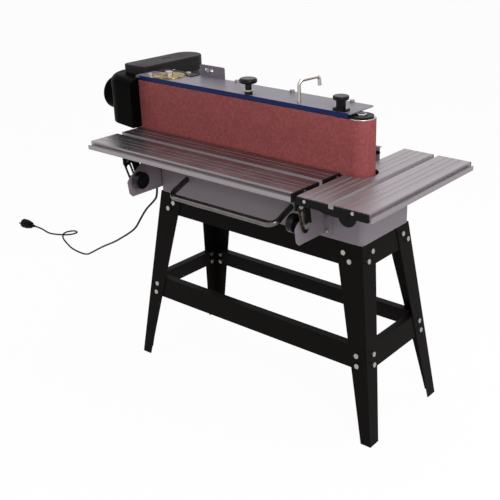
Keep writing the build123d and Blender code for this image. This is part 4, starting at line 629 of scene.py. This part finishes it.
# Sanding belt: cloth coated with brown-red grit, joined into a loop. The cut edges show
# the tan backing.
GRIT_RED = (0.255, 0.05, 0.051, 1)
GRIT_DARK = (0.165, 0.027, 0.029, 1)
GRIT_PALE = (0.36, 0.09, 0.09, 1)
BACKING_TAN = (0.3, 0.17, 0.1, 1)
GRAINS_A_METRE = 1500.0
GRAIN_HEIGHT = 0.00015
grit_cloth, tree, surface = begin_finish("grit_cloth")
spot = places(tree)
grains = add(tree, "ShaderNodeTexVoronoi", {"Vector": spot, "Scale": GRAINS_A_METRE})
speck = add(tree, "ShaderNodeSeparateColor", {0: grains.outputs["Color"]}).outputs[0]
wide = noise(tree, spot, scale=120.0, detail=8.0)
colour = mix(tree, stretch(tree, speck, 0.55, 1.0, 0.0, 0.55), GRIT_RED, GRIT_PALE)
colour = mix(tree, stretch(tree, speck, 0.35, 0.0, 0.0, 0.6), colour, GRIT_DARK)
colour = mix(tree, stretch(tree, wide, 0.52, 0.3, 0.0, 0.45), colour, GRIT_DARK)
colour = mix(tree, stretch(tree, wide, 0.5, 0.72, 0.0, 0.45), colour, GRIT_PALE)
facing = add(tree, "ShaderNodeNewGeometry").outputs["Normal"]
upright = add(tree, "ShaderNodeSeparateXYZ", {0: facing}).outputs["Z"]
edge_face = reckon(tree, "GREATER_THAN", reckon(tree, "ABSOLUTE", upright, 0.0), 0.7)
feed(tree, surface, {
    "Base Color": mix(tree, edge_face, colour, BACKING_TAN),
    "Roughness": stretch(tree, speck, 0.0, 1.0, 0.95, 0.72),
})
raise_surface(tree, surface, speck, GRAIN_HEIGHT)
coat(grit_cloth, "sanding_belt")

# V-belt: a loop of moulded rubber with a wedge section, run over the two pulleys under the
# charcoal cover.
belt_rubber = moulded("belt_rubber", (0.012, 0.012, 0.012, 1), shine=0.7, depth=0.00006)
coat(belt_rubber, "v_belt")

# Switch box: a moulded case screwed behind the left bracket, with a green and a red button
# in a smooth, glossier plastic.
button_green = moulded("button_green", (0.02, 0.22, 0.05, 1), shine=0.3, depth=0.00001)
button_red = moulded("button_red", (0.42, 0.02, 0.015, 1), shine=0.3, depth=0.00001)
coat(shell_black, "switch_box")
coat(button_green, "start_button")
coat(button_red, "stop_button")

# Mains cord: a round lead of black rubber that leaves a gland under the switch box,
# drops to the floor, makes one loose loop and ends in a moulded plug.
CORD_DIAMETER = 0.0065
CORD_LIE = 0.00355
cord_route = [
    (-0.307, -0.097, 0.548),
    (-0.307, -0.097, 0.508),
    (-0.350, -0.081, 0.473),
    (-0.408, -0.058, 0.432),
    (-0.459, -0.039, 0.384),
    (-0.518, -0.016, 0.325),
    (-0.587, 0.010, 0.281),
    (-0.660, 0.038, 0.238),
    (-0.732, 0.065, 0.196),
    (-0.807, 0.094, 0.157),
    (-0.879, 0.121, 0.119),
    (-0.951, 0.149, 0.079),
    (-1.021, 0.176, 0.039),
    (-1.072, 0.192, 0.012),
    (-1.122, 0.199, CORD_LIE),
    (-1.186, 0.207, CORD_LIE),
    (-1.251, 0.231, CORD_LIE),
    (-1.313, 0.258, CORD_LIE),
    (-1.356, 0.298, CORD_LIE),
    (-1.334, 0.338, 0.005),
    (-1.294, 0.326, 0.0085),
    (-1.298, 0.281, 0.0115),
    (-1.346, 0.258, 0.0095),
    (-1.398, 0.252, 0.005),
    (-1.440, 0.249, 0.0195),
    (-1.480, 0.246, 0.0195),
]
cord_curve = bpy.data.curves.new("mains_cord", "CURVE")
cord_curve.dimensions = "3D"
cord_curve.bevel_depth = CORD_DIAMETER / 2
cord_curve.bevel_resolution = 5
cord_curve.resolution_u = 12
cord_curve.use_fill_caps = True
cord_line = cord_curve.splines.new("NURBS")
cord_line.points.add(len(cord_route) - 1)
for point, place in zip(cord_line.points, cord_route):
    point.co = (*place, 1)
cord_line.order_u = 3
cord_line.use_endpoint_u = True
mains_cord = put("mains_cord", cord_curve)
lead_rubber = moulded(
    "lead_rubber", (0.0035, 0.0034, 0.0034, 1), shine=0.5, depth=0.00003, glint=0.06
)
cord_curve.materials.append(lead_rubber)
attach(mains_cord, "machine")
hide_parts("cord")
coat(lead_rubber, "plug", "cord_gland")

# Studio: a wide pale floor that keeps the shadow, white all round as in the photograph, and
# three soft lamps.
WHITE = (1, 1, 1, 1)
FLOOR_PALE = (0.95, 0.95, 0.95, 1)
FLOOR_HALF = 12.0
FLOOR_WHITE_SHARE = 0.96
ROOM_LIGHT = 0.3


def looked_at(tree):
    """One for what the camera, a reflection or clear glass sees, nought for lighting."""
    ray = add(tree, "ShaderNodeLightPath").outputs
    seen = reckon(tree, "MAXIMUM", ray["Is Camera Ray"], ray["Is Glossy Ray"])
    return reckon(tree, "MAXIMUM", seen, ray["Is Transmission Ray"])


floor_mesh = bpy.data.meshes.new("studio_floor")
corners = [(-FLOOR_HALF, -FLOOR_HALF, 0), (FLOOR_HALF, -FLOOR_HALF, 0)]
corners += [(FLOOR_HALF, FLOOR_HALF, 0), (-FLOOR_HALF, FLOOR_HALF, 0)]
floor_mesh.from_pydata(corners, [], [(0, 1, 2, 3)])
studio_floor = put("studio_floor", floor_mesh)
pale_floor = bpy.data.materials.new("pale_floor")
pale_floor.use_nodes = True
tree = pale_floor.node_tree
tree.nodes.clear()
lit = add(tree, "ShaderNodeBsdfDiffuse", {"Color": FLOOR_PALE})
white = add(tree, "ShaderNodeEmission", {"Color": WHITE, "Strength": 1.0})
shown = reckon(tree, "MULTIPLY", looked_at(tree), FLOOR_WHITE_SHARE)
both = add(tree, "ShaderNodeMixShader", {0: shown, 1: lit.outputs[0], 2: white.outputs[0]})
add(tree, "ShaderNodeOutputMaterial", {0: both.outputs[0]})
floor_mesh.materials.append(pale_floor)

studio = bpy.data.worlds.new("studio")
studio.use_nodes = True
tree = studio.node_tree
tree.nodes.clear()
around = stretch(tree, looked_at(tree), 0.0, 1.0, ROOM_LIGHT, 1.0)
sky = add(tree, "ShaderNodeBackground", {"Color": WHITE, "Strength": around})
add(tree, "ShaderNodeOutputWorld", {0: sky.outputs[0]})
bpy.context.scene.world = studio

LAMP_AIM = Vector((0.05, -0.05, 0.6))
for name, place, size, power in (
    ("key_lamp", (2.2, -1.3, 1.9), 1.4, 52.0),
    ("fill_lamp", (-2.4, -2.2, 1.8), 2.0, 7.0),
    ("top_lamp", (0.2, 0.6, 3.2), 2.2, 40.0),
):
    light = bpy.data.lights.new(name, "AREA")
    light.size = size
    light.energy = power
    lamp = put(name, light)
    lamp.location = place
    lamp.rotation_euler = (LAMP_AIM - Vector(place)).to_track_quat("-Z", "Y").to_euler()

# Camera: the photograph's place and angle. The frame was cropped off the middle of the
# view, which the shift stands for.
IMAGE_SIDE = 500
FOCAL_PIXELS = 867.34
MIDDLE_PIXEL = (336.34, 238.02)
CAMERA_PLACE = (1.5904, -1.7916, 1.4052)
YAW, PITCH, ROLL = 35.89, 22.6, 0.18
lens = bpy.data.cameras.new("camera")
lens.sensor_width = 36.0
lens.lens = FOCAL_PIXELS / IMAGE_SIDE * lens.sensor_width
lens.shift_x = 0.5 - MIDDLE_PIXEL[0] / IMAGE_SIDE
lens.shift_y = MIDDLE_PIXEL[1] / IMAGE_SIDE - 0.5
camera = put("camera", lens)
camera.location = CAMERA_PLACE
level = Euler((radians(90 - PITCH), 0, radians(YAW))).to_matrix()
camera.rotation_euler = (level @ Matrix.Rotation(radians(ROLL), 3, "Z")).to_euler()
bpy.context.scene.camera = camera
bpy.context.scene.view_settings.view_transform = "Standard"
